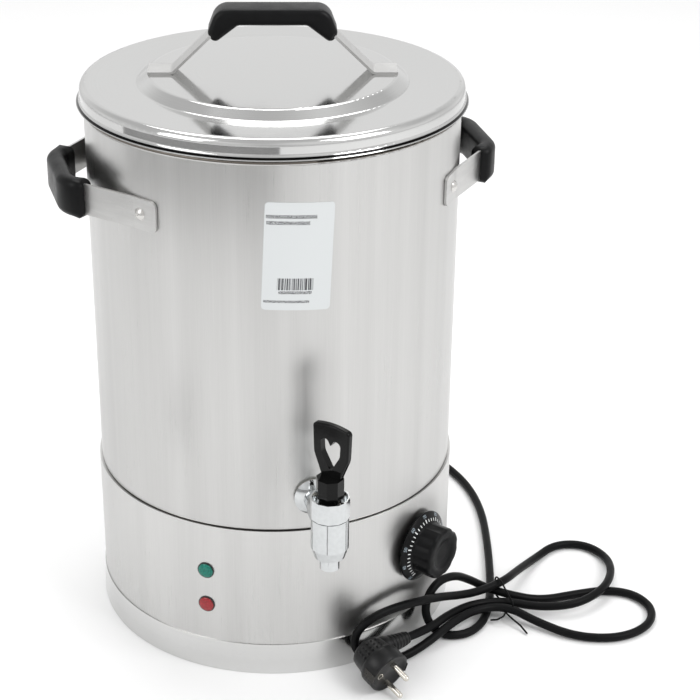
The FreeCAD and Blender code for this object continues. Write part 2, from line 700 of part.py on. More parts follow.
def tap_flange():
    """The domed escutcheon round the tap's shank."""
    place = outward(0, size("tap_level"))
    face = size("tank_radius") + size("handle_gap") + size("gasket_sheet")
    cap = dome("flange_dome", size("flange_radius"), size("flange_depth"), lifted(place, face))
    bore = solid("Cylinder", "flange_bore", place, Height=200,
                 Radius=("shank_radius", "running_gap"))
    return done(less("tap_flange", cap, bore), "tap_flange")


def tap_outer_gasket():
    """The gasket under the escutcheon, hollowed to the tank's wall."""
    place = outward(0, size("tap_level"))
    inner = size("tank_radius") - size("tank_wall")
    blank = ring("outer_gasket_blank", "gasket_radius", ("shank_radius", "running_gap"),
                 ("tank_wall", "handle_gap", "gasket_sheet"), lifted(place, inner))
    wall = tank_cylinder("outer_gasket_wall", "tank_radius")
    return done(less("tap_outer_gasket", blank, wall), "tap_outer_gasket")


def tap_inner_gasket():
    """The gasket inside the tank, rounded to the wall."""
    place = outward(0, size("tap_level"))
    inner = size("tank_radius") - size("tank_wall") - size("gasket_sheet")
    blank = ring("inner_gasket_blank", "gasket_radius", ("shank_radius", "running_gap"),
                 ("gasket_sheet", "tank_wall"), lifted(place, inner - 0.6))
    shape = DOC.addObject("Part::Common", "tap_inner_gasket")
    shape.Base = blank
    shape.Tool = tank_cylinder("inner_gasket_wall", ("tank_radius", "-tank_wall"))
    return done(shape, "tap_inner_gasket")


def tap_lock_nut():
    """The hexagonal nut that clamps the tap from inside the tank."""
    face = size("tank_radius") - size("tank_wall") - size("gasket_sheet") - 0.6
    place = lifted(outward(0, size("tap_level")), face - size("nut_depth"))
    nut = hexagon("tap_lock_nut", "nut_across", size("nut_depth"), "shank_radius", place)
    return done(nut, "tap_lock_nut")


def tap_body():
    """The chromed barrel with its spout, faceted neck and the shank through the tank."""
    barrel = revolved("tap_barrel", [
        (0, "spout_end"), ("spout_radius", "spout_end"), ("spout_radius", "barrel_foot"),
        ("barrel_foot_radius", "barrel_foot"), ("barrel_radius", "barrel_shoulder"),
        ("barrel_radius", "barrel_top"), ("barrel_thread", "barrel_top"),
        ("barrel_thread", "thread_top"), (0, "thread_top")])
    barrel.Placement = tap_axis()
    place = outward(0, size("tap_level"))
    shank = solid("Cylinder", "tap_shank", lifted(place, size("shank_end")),
                  Radius="shank_radius", Height=("tap_reach", "-shank_end"))
    neck = solid("Prism", "tap_neck", lifted(place, size("neck_start")), Polygon=8,
                 Circumradius="neck_flat", Height=("neck_end", "-neck_start"))
    whole = joined("tap_blank", barrel, shank, neck)
    inlet = solid("Cylinder", "tap_inlet", lifted(place, size("shank_end") - 1),
                  Radius="shank_bore", Height=("tap_reach", "-shank_end", 1))
    chamber = solid("Cylinder", "tap_chamber", tap_axis(size("seat_level")),
                    Radius="barrel_bore", Height=60)
    outlet = solid("Cylinder", "tap_outlet", tap_axis(size("spout_end") - 1),
                   Radius="spout_bore", Height=60)
    return done(less("tap_body", whole, inlet, chamber, outlet), "tap_body")


def tap_collar():
    """The faceted collar screwed over the barrel; the stem slides in its web."""
    blank = solid("Prism", "collar_prism", tap_axis(size("barrel_top")), Polygon=12,
                  Circumradius="collar_radius", Height=("collar_top", "-barrel_top"))
    thread = solid("Cylinder", "collar_thread", tap_axis(size("barrel_top") - 1),
                   Radius="barrel_thread", Height=("web_level", "-barrel_top", 1))
    mouth = solid("Cylinder", "collar_mouth_bore", tap_axis(size("web_top")),
                  Radius="collar_mouth", Height=60)
    guide = solid("Cylinder", "collar_guide", tap_axis(size("barrel_top")),
                  Radius=("stem_radius", "running_gap"), Height=60)
    return done(less("tap_collar", blank, thread, mouth, guide, pin_rod("collar_pin_hole")),
                "tap_collar")


def pin_rod(name, extra=0.0):
    """A rod across the collar on the lever's pivot line."""
    across = Placement(Vector(), Rotation(Vector(0, 1, 0), 90))
    place = tap_axis(size("pivot_level")).multiply(across)
    return solid("Cylinder", name, lifted(place, -size("pin_length") / 2),
                 Radius=("pin_radius", extra), Height="pin_length")


def tap_lever():
    """The glossy lever: octagonal neck on the pivot and a paddle with a heart-shaped hole."""
    outline = paddle_outline()
    paddle = padded("paddle", "XZ_Plane", outline, "paddle_depth")
    heart = padded("heart", "XZ_Plane", heart_outline(), ("paddle_depth", 20))
    softened(paddle, "paddle_edge", side_edges(paddle, "y"))
    behind = Placement(Vector(0, size("paddle_shift"), 0), Rotation())
    paddle.Placement = tap_axis().multiply(behind)
    heart.Placement = tap_axis()
    place = tap_axis(size("lever_cone_top"))
    place = place.multiply(Placement(Vector(), Rotation(Vector(0, 0, 1), 22.5)))
    neck = solid("Prism", "lever_neck", place, Polygon=8,
                 Height=("lever_neck_top", "-lever_cone_top"))
    neck.setExpression("Circumradius", "Sizes.lever_flat / cos(22.5 deg)")
    tip = solid("Cone", "lever_cone", tap_axis(size("lever_bottom")), Radius1="lever_tip",
                Radius2="lever_flat", Height=("lever_cone_top", "-lever_bottom"))
    socket = solid("Cylinder", "lever_stem_socket", tap_axis(size("lever_bottom") - 1),
                   Radius="lever_socket", Height=10)
    lever = less("tap_lever", joined("lever_blank", paddle, neck, tip), heart, socket,
                 pin_rod("lever_pin_hole", size("running_gap")))
    return done(lever, "tap_lever")


def mirrored(half):
    """A closed outline from the right half of it, each corner as across, up and radius."""
    corners = half + [(-x, z, radius) for x, z, radius in reversed(half) if x]
    return [(x, z) for x, z, _ in corners], [radius for _, _, radius in corners]


def paddle_outline():
    """The paddle widens from the neck to a broad, slightly arched top."""
    half, waist = size("paddle_half"), size("paddle_waist")
    return mirrored([
        (waist, size("lever_neck_top") - 4, 0), (waist + 0.3, size("lever_neck_top") + 1, 6),
        (half - 1, size("heart_side") - 2, 14), (half, size("paddle_corner"), 3.5),
        (0, size("paddle_top"), 60)])


def heart_outline():
    """The heart-shaped finger hole, point down."""
    half = size("heart_half")
    return mirrored([
        (0, size("heart_tip"), 1.5), (half - 0.6, size("heart_side"), 8),
        (half, size("heart_top") - 1, 4), (half - 6, size("heart_top"), 3),
        (0, size("heart_cleft"), 0.5)])


def valve_stem():
    """The stem that the lever lifts, with a disc that the spring presses on."""
    rod = solid("Cylinder", "stem_rod", tap_axis(size("stem_bottom")), Radius="stem_radius",
                Height=("stem_top", "-stem_bottom"))
    disc = solid("Cylinder", "stem_disc", tap_axis(size("cup_top")), Radius="stem_head",
                 Height="stem_head_depth")
    return done(joined("valve_stem", rod, disc), "valve_stem")


def seat_cup():
    """The silicone cup on the stem's foot, which closes the outlet."""
    bottom = size("seat_level") + size("seat_gap")
    cup = solid("Cone", "cup_blank", tap_axis(bottom), Radius1="cup_radius",
                Radius2=("cup_radius", -1), Height=("cup_top", "-seat_level", "-seat_gap"))
    hole = solid("Cylinder", "cup_hole", tap_axis(size("stem_bottom")), Radius="stem_radius",
                 Height=20)
    return done(less("seat_cup", cup, hole), "seat_cup")


def tap_spring():
    """The coil spring between the stem's disc and the collar's web."""
    bottom = size("cup_top") + size("stem_head_depth") + size("spring_gap")
    wire = size("spring_wire")
    height = size("web_level") - size("spring_gap") - bottom - 2 * wire
    radius = size("spring_radius")
    helix = Part.makeHelix(height / size("spring_turns"), height, radius)
    circle = Part.Wire([Part.makeCircle(wire, Vector(radius, 0, 0), Vector(0, 1, 0))])
    coil = Part.Wire(helix).makePipeShell([circle], True, True)
    return done(shaped("tap_spring", coil, tap_axis(bottom + wire)), "tap_spring")


def lever_pin():
    """The pin that the lever turns on, pressed into the collar."""
    return done(pin_rod("lever_pin"), "lever_pin")


# ---------------------------------------------------------------- heating element

def heating_element():
    """A tubular ring over the floor whose two ends turn down through it."""
    level, reach, elbow = size("element_level"), size("element_ring"), size("element_elbow")
    split = math.radians(size("element_split"))
    start = Vector(-reach * math.sin(split), reach * math.cos(split), level)
    finish = Vector(-start.x, start.y, level)
    legs = [Vector(x, y, level - elbow) for x, y in element_legs()]
    slope = elbow * (1 - math.sqrt(0.5))
    edges = []
    for leg, root in zip(legs, (start, finish)):
        plan = Vector(leg.x, leg.y, level)
        inward = (root - plan).normalize()
        bend = Part.Arc(leg, plan + inward * slope - Vector(0, 0, slope), root)
        edges.append([Part.LineSegment(Vector(leg.x, leg.y, size("element_end")), leg), bend])
    loop = Part.Arc(start, Vector(0, -reach, level), finish)
    chain = edges[0] + [loop] + edges[1][::-1]
    wire = Part.Wire(Part.__sortEdges__([edge.toShape() for edge in chain]))
    foot = Vector(legs[0].x, legs[0].y, size("element_end"))
    circle = Part.Wire([Part.makeCircle(size("element_tube"), foot, Vector(0, 0, 1))])
    return done(shaped("heating_element", wire.makePipeShell([circle], True, False)),
                "heating_element")


def at_each_leg(name, make):
    """One copy of a small part on each of the element's legs."""
    places = [Placement(Vector(x, y, 0), Rotation()) for x, y in element_legs()]
    pieces = [make(f"{name}_{i}", place) for i, place in enumerate(places)]
    return done(grouped(name, pieces), name)


def element_bushing(name, place):
    """A threaded bushing with a flange, brazed round a leg."""
    sleeve = ring(name + "_sleeve", "bushing_radius", "element_tube",
                  ("bushing_top", "-bushing_bottom"), lifted(place, size("bushing_bottom")))
    flange = ring(name + "_flange", "bushing_flange", "element_tube",
                  ("bushing_top", "-floor_level", "-washer_sheet"),
                  lifted(place, size("floor_level") + size("washer_sheet")))
    return joined(name, sleeve, flange)


def element_gasket(name, place):
    """A sealing washer under a bushing's flange."""
    return ring(name, "bushing_flange", "bushing_radius", "washer_sheet",
                lifted(place, size("floor_level")))


def element_nut(name, place):
    """The nut that pulls a bushing down on the floor."""
    top = size("floor_level") - size("floor_sheet")
    return hexagon(name, "bushing_nut", size("nut_depth"), "bushing_radius",
                   lifted(place, top - size("nut_depth")))


def element_blade(name, place):
    """A flat terminal at a leg's lower end."""
    width, sheet, length = size("blade_width"), size("blade_sheet"), size("blade_length")
    corner = Placement(Vector(-width / 2, -sheet / 2, size("element_end") - length), Rotation())
    return solid("Box", name, place.multiply(corner), Length="blade_width",
                 Width="blade_sheet", Height="blade_length")


def thermal_cutout():
    """The boil-dry cut-out under the floor, on a flange with two blades."""
    top = size("floor_level") - size("floor_sheet")
    place = Placement(Vector(size("cutout_across"), size("cutout_back"), top), Rotation())
    flange = solid("Cylinder", "cutout_flange", lifted(place, -1.2), Height=1.2,
                   Radius=("cutout_radius", 4))
    case = solid("Cylinder", "cutout_case", lifted(place, -size("cutout_depth")),
                 Radius="cutout_radius", Height="cutout_depth")
    blades = []
    for i, side in enumerate((-1, 1)):
        width = size("blade_width")
        corner = Vector(side * 5 - size("blade_sheet") / 2, -width / 2,
                        -size("cutout_depth") - size("blade_length") + 3)
        blades.append(solid("Box", f"cutout_blade_{i}", place.multiply(Placement(corner, Rotation())),
                            Length="blade_sheet", Width="blade_width", Height="blade_length"))
    return done(joined("thermal_cutout", flange, case, *blades), "thermal_cutout")


# ---------------------------------------------------------------- thermostat and dial

def dial_place(along=0.0):
    """The dial's axis, which points away from the boiler."""
    return outward(size("dial_azimuth"), size("dial_level"), along)


def thermostat_screw_places():
    """Two screws beside the dial's shaft, behind its skirt."""
    side = size("screw_side")
    return [dial_place().multiply(Placement(Vector(x, 0, 0), Rotation())) for x in (-side, side)]


def thermostat_body():
    """The switch that the dial's shaft turns, screwed to the inside of the casing."""
    half = size("thermostat_side") / 2
    corner = Placement(Vector(-half, -half, size("thermostat_rear")), Rotation())
    box = solid("Box", "thermostat_box", dial_place().multiply(corner),
                Length="thermostat_side", Width="thermostat_side",
                Height=("thermostat_front", "-thermostat_rear"))
    tools = [solid("Cylinder", "thermostat_bore", dial_place(size("shaft_inner") - 1),
                   Radius=("shaft_radius", "running_gap"), Height=80)]
    for i, place in enumerate(thermostat_screw_places()):
        tools.append(solid("Cylinder", f"thermostat_screw_hole_{i}",
                           lifted(place, size("thermostat_front") - 7),
                           Radius="screw_radius", Height=20))
    return done(less("thermostat_body", box, *tools), "thermostat_body")


def thermostat_screws():
    """Round-headed screws through the casing into the thermostat."""
    screws = []
    face = size("casing_radius") + 0.1
    for i, place in enumerate(thermostat_screw_places()):
        head = dome(f"thermostat_head_{i}", size("screw_head"), 1.6, lifted(place, face - 0.2))
        shank = solid("Cylinder", f"thermostat_shank_{i}",
                      lifted(place, size("thermostat_front") - 7),
                      Radius="screw_radius", Height=face - size("thermostat_front") + 7)
        screws.append(joined(f"thermostat_screw_{i}", head, shank))
    return done(grouped("thermostat_screws", screws), "thermostat_screws")


def thermostat_shaft():
    """The round shaft from the switch out into the dial."""
    shaft = solid("Cylinder", "thermostat_shaft", dial_place(size("shaft_inner")),
                  Radius="shaft_radius", Height=("shaft_outer", "-shaft_inner"))
    return done(shaft, "thermostat_shaft")


def dial_knob():
    """The dial: a graduated conical skirt and a fluted grip with a dished face."""
    start = size("dial_skirt_reach")
    skirt_depth = size("dial_skirt_depth")
    edge = solid("Cylinder", "dial_skirt_rim", dial_place(start), Radius="dial_skirt_radius",
                 Height="dial_skirt_edge")
    slope = solid("Cone", "dial_skirt", dial_place(start + size("dial_skirt_edge")),
                  Radius1="dial_skirt_radius", Radius2="dial_skirt_top",
                  Height=("dial_skirt_depth", "-dial_skirt_edge"))
    grip = solid("Cone", "dial_grip", dial_place(start + skirt_depth),
                 Radius1="dial_grip_radius", Radius2="dial_tip_radius",
                 Height=("dial_grip_end", "-dial_skirt_reach", "-dial_skirt_depth"))
    flutes = []
    ring_radius = size("dial_grip_radius") + size("dial_flute_radius") - size("dial_flute_depth")
    for i in range(int(size("dial_flutes"))):
        turn = Placement(Vector(), Rotation(Vector(0, 0, 1), 360 * i / size("dial_flutes")))
        spot = turn.multiply(Placement(Vector(ring_radius, 0, 0), Rotation()))
        flutes.append(solid("Cylinder", f"dial_flute_{i}",
                            dial_place(start + skirt_depth).multiply(spot),
                            Radius="dial_flute_radius", Height=40))
    dish = solid("Cylinder", "dial_dish_bore",
                 dial_place(size("dial_grip_end") - size("dial_dish_depth")),
                 Radius="dial_dish", Height=20)
    bore = solid("Cylinder", "dial_bore", dial_place(start - 1), Radius="shaft_radius",
                 Height=("shaft_outer", "-dial_skirt_reach", 1))
    fluted = less("dial_fluted", grip, dish, *flutes)
    return done(less("dial_knob", joined("dial_blank", edge, slope, fluted), bore), "dial_knob")


def thermostat_bulb():
    """The sensing bulb, lying under the tank floor."""
    level = size("floor_level") - size("floor_sheet") - size("bulb_radius") - 0.3
    along = Rotation(Vector(0, 1, 0), 90)
    bulb = solid("Cylinder", "thermostat_bulb", Placement(Vector(-40, -40, level), along),
                 Radius="bulb_radius", Height="bulb_length")
    return done(bulb, "thermostat_bulb")


def thermostat_capillary():
    """The thin tube from the bulb to the back of the thermostat."""
    bulb_end = Vector(-40 + size("bulb_length"), -40,
                      size("floor_level") - size("floor_sheet") - size("bulb_radius") - 0.3)
    back = dial_place(size("thermostat_rear"))
    route = [bulb_end, bulb_end + Vector(22, 0, 0), bulb_end + Vector(30, -14, -16),
             back.multVec(Vector(0, 6, -18)), back.multVec(Vector(0, 6, 0))]
    pipe, _ = tube([tuple(point) for point in route], [0, 8, 8, 6, 0],
                   size("capillary_radius"))
    return done(shaped("thermostat_capillary", pipe), "thermostat_capillary")


# ---------------------------------------------------------------- lamps

def lamp_levels():
    """The green lamp above the red one."""
    return {"green": size("green_level"), "red": size("red_level")}


def lamp_bodies():
    """Black lamp housings through the casing, with a thin rim and two blades behind."""
    housings = []
    for colour, level in lamp_levels().items():
        place = outward(size("lamp_azimuth"), level)
        barrel = solid("Cylinder", f"lamp_barrel_{colour}", lifted(place, size("lamp_rear")),
                       Radius="lamp_hole", Height=("casing_radius", "-lamp_rear", 0.2))
        rim = solid("Cylinder", f"lamp_rim_{colour}", lifted(place, size("casing_radius") + 0.1),
                    Radius="lamp_rim", Height=0.6)
        pocket = solid("Cylinder", f"lamp_pocket_{colour}", lifted(place, size("lamp_recess")),
                       Radius="lamp_lens", Height=20)
        blades = []
        for side in (-3, 3):
            corner = Placement(Vector(side - 0.3, -1.4, size("lamp_rear") - 8), Rotation())
            blades.append(solid("Box", f"lamp_blade_{colour}", place.multiply(corner),
                                Length=0.6, Width=2.8, Height=9))
        whole = joined(f"lamp_blank_{colour}", barrel, rim, *blades)
        housings.append(less(f"lamp_body_{colour}", whole, pocket))
    return done(grouped("lamp_bodies", housings), "lamp_bodies")


def lamp_lens(colour):
    """A clear coloured lens, domed, a little back in its rim."""
    place = outward(size("lamp_azimuth"), lamp_levels()[colour])
    base = solid("Cylinder", f"{colour}_lens_base", lifted(place, size("lamp_recess")),
                 Radius="lamp_lens", Height=1.4)
    cap = dome(f"{colour}_lens_cap", size("lamp_lens"), 1.6,
               lifted(place, size("lamp_recess") + 1.4))
    return done(joined(f"{colour}_lens", base, cap), f"{colour}_lens")


def lamp_nuts():
    """Push-on nuts that hold the lamp housings from inside."""
    nuts = [ring(f"lamp_nut_{colour}", "lamp_nut", "lamp_hole", 4,
                 lifted(outward(size("lamp_azimuth"), level), size("casing_radius") - 5.5))
            for colour, level in lamp_levels().items()]
    return done(grouped("lamp_nuts", nuts), "lamp_nuts")


# ---------------------------------------------------------------- wiring

def block_place():
    """The terminal block's frame: X along it, Y up and Z outward."""
    return outward(size("block_azimuth"), size("block_level"))


def clamp_offsets():
    """The three clamps of the terminal block along its length."""
    return [size("block_pitch") * i for i in (-1, 0, 1)]


def terminal_block():
    """The terminal block on the inside of the casing, with three clamps open both ways."""
    half = size("block_height") / 2
    corner = Vector(-size("block_length") / 2, -half, size("block_rear"))
    base = solid("Box", "block_base", block_place().multiply(Placement(corner, Rotation())),
                 Length="block_length", Width="block_height", Height="block_depth")
    sockets = []
    upward = Rotation(Vector(1, 0, 0), -90)
    for i, x in enumerate(clamp_offsets()):
        for j, y in enumerate((-half - 3, half + 3 - size("clamp_depth"))):
            mouth = Placement(Vector(x, y, size("clamp_reach")), upward)
            sockets.append(solid("Cylinder", f"block_socket_{i}_{j}",
                                 block_place().multiply(mouth), Radius="clamp_radius",
                                 Height="clamp_depth"))
    return done(less("terminal_block", base, *sockets), "terminal_block")


def earth_stud():
    """The earth stud through a bracket on the casing, with its nut."""
    wall = size("casing_radius") - size("casing_wall")
    place = outward(size("stud_azimuth"), size("stud_level"),
                    wall - size("stud_length") - 2 * size("running_gap"))
    stud = solid("Cylinder", "earth_stud_rod", place, Radius="stud_radius",
                 Height="stud_length")
    nut = solid("Prism", "earth_stud_nut", lifted(place, size("stud_nut")), Polygon=6,
                Circumradius="stud_nut", Height=("stud_nut", -1.8))
    return done(joined("earth_stud", stud, nut), "earth_stud")


def in_place(place, points):
    """Points of a local frame as tuples of the boiler's frame."""
    return [tuple(place.multVec(Vector(*point))) for point in points]


def wire_routes():
    """The leads inside the base, each from one terminal to another."""
    block = block_place()
    mouth = size("block_height") / 2 + 0.2
    gland = outward(size("gland_azimuth"), size("gland_level"), size("gland_rear"))
    thermostat = dial_place(size("thermostat_rear"))
    legs = [Vector(x, y, size("element_end") - size("blade_length")) for x, y in element_legs()]
    routes = []
    for i, clamp in zip((-1, 0, 1), clamp_offsets()):
        spread = size("wire_pitch") * i
        entry = gland.multVec(Vector(spread, 0, -0.2))
        socket = block.multVec(Vector(clamp, -mouth, size("clamp_reach")))
        routes.append([tuple(entry), tuple(gland.multVec(Vector(spread, 0, -16))),
                       tuple(socket - Vector(0, 0, 12)), tuple(socket)])
    for leg, clamp in zip(legs, (clamp_offsets()[0], clamp_offsets()[-1])):
        socket = block.multVec(Vector(clamp, mouth, size("clamp_reach")))
        routes.append([tuple(leg), tuple(leg - Vector(0, 0, 14)),
                       tuple(socket + Vector(0, 0, 14)), tuple(socket)])
    routes.append(in_place(thermostat, [(-8, -8, -0.2), (-8, -8, -16), (-20, -20, -42),
                                        (-60, -16, -60), (-88, -20, -45)]))
    for i, colour in enumerate(lamp_levels()):
        lamp = outward(size("lamp_azimuth"), lamp_levels()[colour], size("lamp_rear") - 8.2)
        routes.append(in_place(lamp, [(3, 0, 0), (3, 0, -14), (30, 6 + 4 * i, -40),
                                      (70, 8 + 4 * i, -34)]))
    return routes


def wiring():
    """The leads inside the base as plain round wires."""
    wires = []
    for i, route in enumerate(wire_routes()):
        radii = [0] + [size("wire_bend")] * (len(route) - 2) + [0]
        pipe, _ = tube(route, radii, size("wire_radius"))
        wires.append(shaped(f"wire_{i}", pipe))
    return done(grouped("wiring", wires), "wiring")


# ---------------------------------------------------------------- mains lead

def cord_gland():
    """The gland through the casing with its tapered strain relief."""
    place = outward(size("gland_azimuth"), size("gland_level"))
    thread = solid("Cylinder", "gland_barrel", lifted(place, size("gland_rear")),
                   Radius="gland_thread", Height=("casing_radius", "-gland_rear", 1))
    head = solid("Prism", "gland_hexagon", lifted(place, size("casing_radius")), Polygon=6,
                 Circumradius=("gland_radius", 1.2), Height=("gland_head", "-casing_radius"))
    relief = solid("Cone", "gland_relief", lifted(place, size("gland_head")),
                   Radius1="gland_radius", Radius2="gland_tip",
                   Height=("gland_end", "-gland_head"))
    return done(joined("cord_gland", thread, head, relief), "cord_gland")


def gland_nut():
    """The nut that holds the gland from inside the casing."""
    place = outward(size("gland_azimuth"), size("gland_level"))
    nut = ring("gland_nut", "gland_nut", "gland_thread", 4,
               lifted(place, size("casing_radius") - size("casing_wall") - 4.5))
    return done(nut, "gland_nut")


def power_cord():
    """The lead, as straight runs joined by tangent arcs."""
    radii = route_radii(CORD_ROUTE)
    pipe, length = tube(CORD_ROUTE, radii, size("cord_radius"))
    print("cord arc radii:", " ".join(f"{radius:.0f}" for radius in radii[1:-1]))
    expected = math.pi * size("cord_radius") ** 2 * length
    print(f"cord length {length:.0f}, volume over section x length {pipe.Volume / expected:.4f}")
    return done(shaped("power_cord", pipe), "power_cord")


def cord_tie():
    """The twist tie round the bundled lead, with its two tails."""
    forward = outward(TIE_AZIMUTH, 0).multVec(Vector(1, 0, 0))
    middle = Vector(*TIE_MIDDLE, 0)
    corners = [tuple(middle + forward * across + Vector(0, 0, up)) for across, up in TIE_RING]
    edges = rounded(corners, [4] * len(corners), closed=True)
    path = Part.Wire([edge.toShape() for edge in edges])
    first = path.Edges[0]
    start = first.valueAt(first.FirstParameter)
    heading = first.tangentAt(first.FirstParameter)
    circle = Part.Wire([Part.makeCircle(size("tie_radius"), start, heading)])
    pieces = [shaped("tie_ring", path.makePipeShell([circle], True, False))]
    for i, route in enumerate(TIE_TAILS):
        pipe, _ = tube(route, [0, 3, 3, 0], size("tie_radius"))
        pieces.append(shaped(f"tie_tail_{i}", pipe))
    lead, _ = tube(CORD_ROUTE, route_radii(CORD_ROUTE), size("cord_radius") + size("tie_gap"))
    wires = joined("tie_wires", *pieces)
    return done(less("cord_tie", wires, shaped("tie_lead", lead)), "cord_tie")


def plug_place():
    """The plug lies where the lead's end meets the tip of its neck."""
    turn = Rotation(size("plug_yaw"), size("plug_pitch"), size("plug_roll"))
    tip = Vector(size("plug_neck_end"), size("plug_neck_side"), 0)
    return Placement(Vector(*CORD_ROUTE[-1]) - turn.multVec(tip), turn)


def along_lead(x, y, z=0.0):
    """A placement in the plug's frame whose Z runs out along its neck."""
    spot = Placement(Vector(x, y, z), Rotation(Vector(0, 1, 0), 90))
    return plug_place().multiply(spot)


def back_from_face(x, y, z=0.0):
    """A placement in the plug's frame whose Z runs back from its face."""
    spot = Placement(Vector(x, y, z), Rotation(Vector(1, 0, 0), -90))
    return plug_place().multiply(spot)


def plug_body():
    """The moulded angled plug: a round face, a tapered back and a neck to the side."""
    disc = solid("Cylinder", "plug_disc", back_from_face(0, 0), Radius="plug_radius",
                 Height="plug_step")
    back = solid("Cone", "plug_back", back_from_face(0, size("plug_step")),
                 Radius1="plug_radius", Radius2="plug_back_radius",
                 Height=("plug_depth", "-plug_step"))
    neck = solid("Cone", "plug_neck", along_lead(4, size("plug_neck_side")),
                 Radius1="plug_neck_root", Radius2="plug_neck_tip",
                 Height=("plug_neck_end", -4, "-running_gap"))
    pin_holes = [solid("Cylinder", f"plug_pin_hole_{i}", back_from_face(0, -1, z),
                       Radius="plug_pin_radius", Height=9) for i, z in enumerate(pin_levels())]
    socket = solid("Cylinder", "plug_earth_hole", back_from_face(-size("earth_side"), -1),
                   Radius="earth_bore", Height=15)
    slots = earth_strips("plug_slot")
    whole = joined("plug_blank", disc, back, neck)
    return done(less("plug_body", whole, socket, *pin_holes, *slots), "plug_body")


def pin_levels():
    """The two pins, one above the other."""
    half = size("pin_pitch") / 2
    return [half, -half]


def earth_strips(name):
    """Flat earth contacts in the two sides of the plug's rim."""
    strips = []
    for i, side in enumerate((-1, 1)):
        x = side * (size("plug_radius") - size("earth_sheet") / 2) - size("earth_sheet") / 2
        corner = Placement(Vector(x, -0.5, -size("earth_width") / 2), Rotation())
        strips.append(solid("Box", f"{name}_{i}", plug_place().multiply(corner),
                            Length="earth_sheet", Width=12, Height="earth_width"))
    return strips


def plug_pins():
    """Two round pins with rounded tips, set 8 mm into the body."""
    pins = []
    for i, z in enumerate(pin_levels()):
        length = size("plug_pin_length") - size("plug_pin_radius")
        rod = solid("Cylinder", f"plug_rod_{i}", back_from_face(0, -length, z),
                    Radius="plug_pin_radius", Height=length + 8)
        tip = solid("Sphere", f"plug_tip_{i}", back_from_face(0, -length, z),
                    Radius="plug_pin_radius")
        pins.append(joined(f"plug_pin_{i}", rod, tip))
    return done(grouped("plug_pins", pins), "plug_pins")


def plug_earth_contacts():
    """The two side strips and the sleeve of the earth hole."""
    sleeve = ring("earth_sleeve", "earth_bore", ("earth_bore", "-earth_sheet"), 13,
                  back_from_face(-size("earth_side"), 0.5))
    return done(grouped("plug_earth_contacts", earth_strips("earth_strip") + [sleeve]),
                "plug_earth_contacts")


# ---------------------------------------------------------------- sticker

def label_sticker():
    """A plain paper label with rounded corners, wrapped on the tank."""
    width, height = size("label_width"), size("label_height")
    x, y = width / 2, height / 2
    corners = [(-x, -y), (x, -y), (x, y), (-x, y)]
    place = outward(size("label_azimuth"), size("label_level"))
    place = place.multiply(Placement(Vector(), Rotation(Vector(0, 0, 1), size("label_tilt"))))
    blank = padded("label_blank", "XY_Plane", (corners, [size("label_corner")] * 4), 340)
    blank.Placement = place
    outer = solid("Cylinder", "label_outer", Radius=("tank_radius", "label_sheet"), Height=460)
    skin = less("label_skin", outer, solid("Cylinder", "label_inner", Radius="tank_radius",
                                           Height=460))
    front = solid("Box", "label_front", Placement(Vector(-200, -200, 0), Rotation()),
                  Length=400, Width=200, Height=460)
    half = DOC.addObject("Part::Common", "label_half")
    half.Base, half.Tool = skin, front
    sticker = DOC.addObject("Part::Common", "label_sticker")
    sticker.Base, sticker.Tool = half, blank
    return done(sticker, "label_sticker")


# ---------------------------------------------------------------- build and check

def build():
    """Make every sub-part."""
    for make in (tank_shell, tank_floor, base_casing, bottom_pan, pan_brackets, pan_screws,
                 lid_shell, lid_locating_ring):
        make()
    lid_grip(lid_handle_strap())
    for side in ("left", "right"):
        side_grip(side, handle_strap(side))
    for make in (handle_rivets, tap_flange, tap_outer_gasket, tap_inner_gasket, tap_lock_nut,
                 tap_body, tap_collar, tap_lever, lever_pin, valve_stem, seat_cup, tap_spring,
                 heating_element):
        make()
    at_each_leg("element_bushings", element_bushing)
    at_each_leg("element_gaskets", element_gasket)
    at_each_leg("element_nuts", element_nut)
    at_each_leg("element_blades", element_blade)
    for make in (thermal_cutout, thermostat_body, thermostat_screws, thermostat_shaft,
                 dial_knob, thermostat_bulb, thermostat_capillary, lamp_bodies):
        make()
    for colour in lamp_levels():
        lamp_lens(colour)
    for make in (lamp_nuts, terminal_block, earth_stud, wiring, cord_gland, gland_nut,
                 power_cord, cord_tie, plug_body, plug_pins, plug_earth_contacts,
                 label_sticker):
        make()


def check():
    """Stop if any object failed or any sub-part's shape is empty or invalid."""
    failed = [item.Name for item in DOC.Objects
              if "Invalid" in item.State or "Error" in item.State]
    if failed:
        raise RuntimeError("failed objects: " + ", ".join(failed))
    for piece in SUBPARTS:
        if piece.Shape.isNull() or not piece.Shape.isValid() or not piece.Shape.Solids:
            raise RuntimeError("bad shape: " + piece.Label)


def write():
    """Write one STEP file for each sub-part."""
    os.makedirs("parts", exist_ok=True)
    for piece in SUBPARTS:
        piece.Shape.exportStep(f"parts/{piece.Label}.step")
        box = piece.Shape.BoundBox
        print(f"{piece.Label:24s} solids {len(piece.Shape.Solids)} "
              f"volume {piece.Shape.Volume / 1000:9.2f} cm3  z {box.ZMin:7.2f} {box.ZMax:7.2f}")


fill_sheet()
build()
DOC.recompute()
check()
write()
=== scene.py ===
import json
import math

import bpy
from mathutils import Matrix, Vector


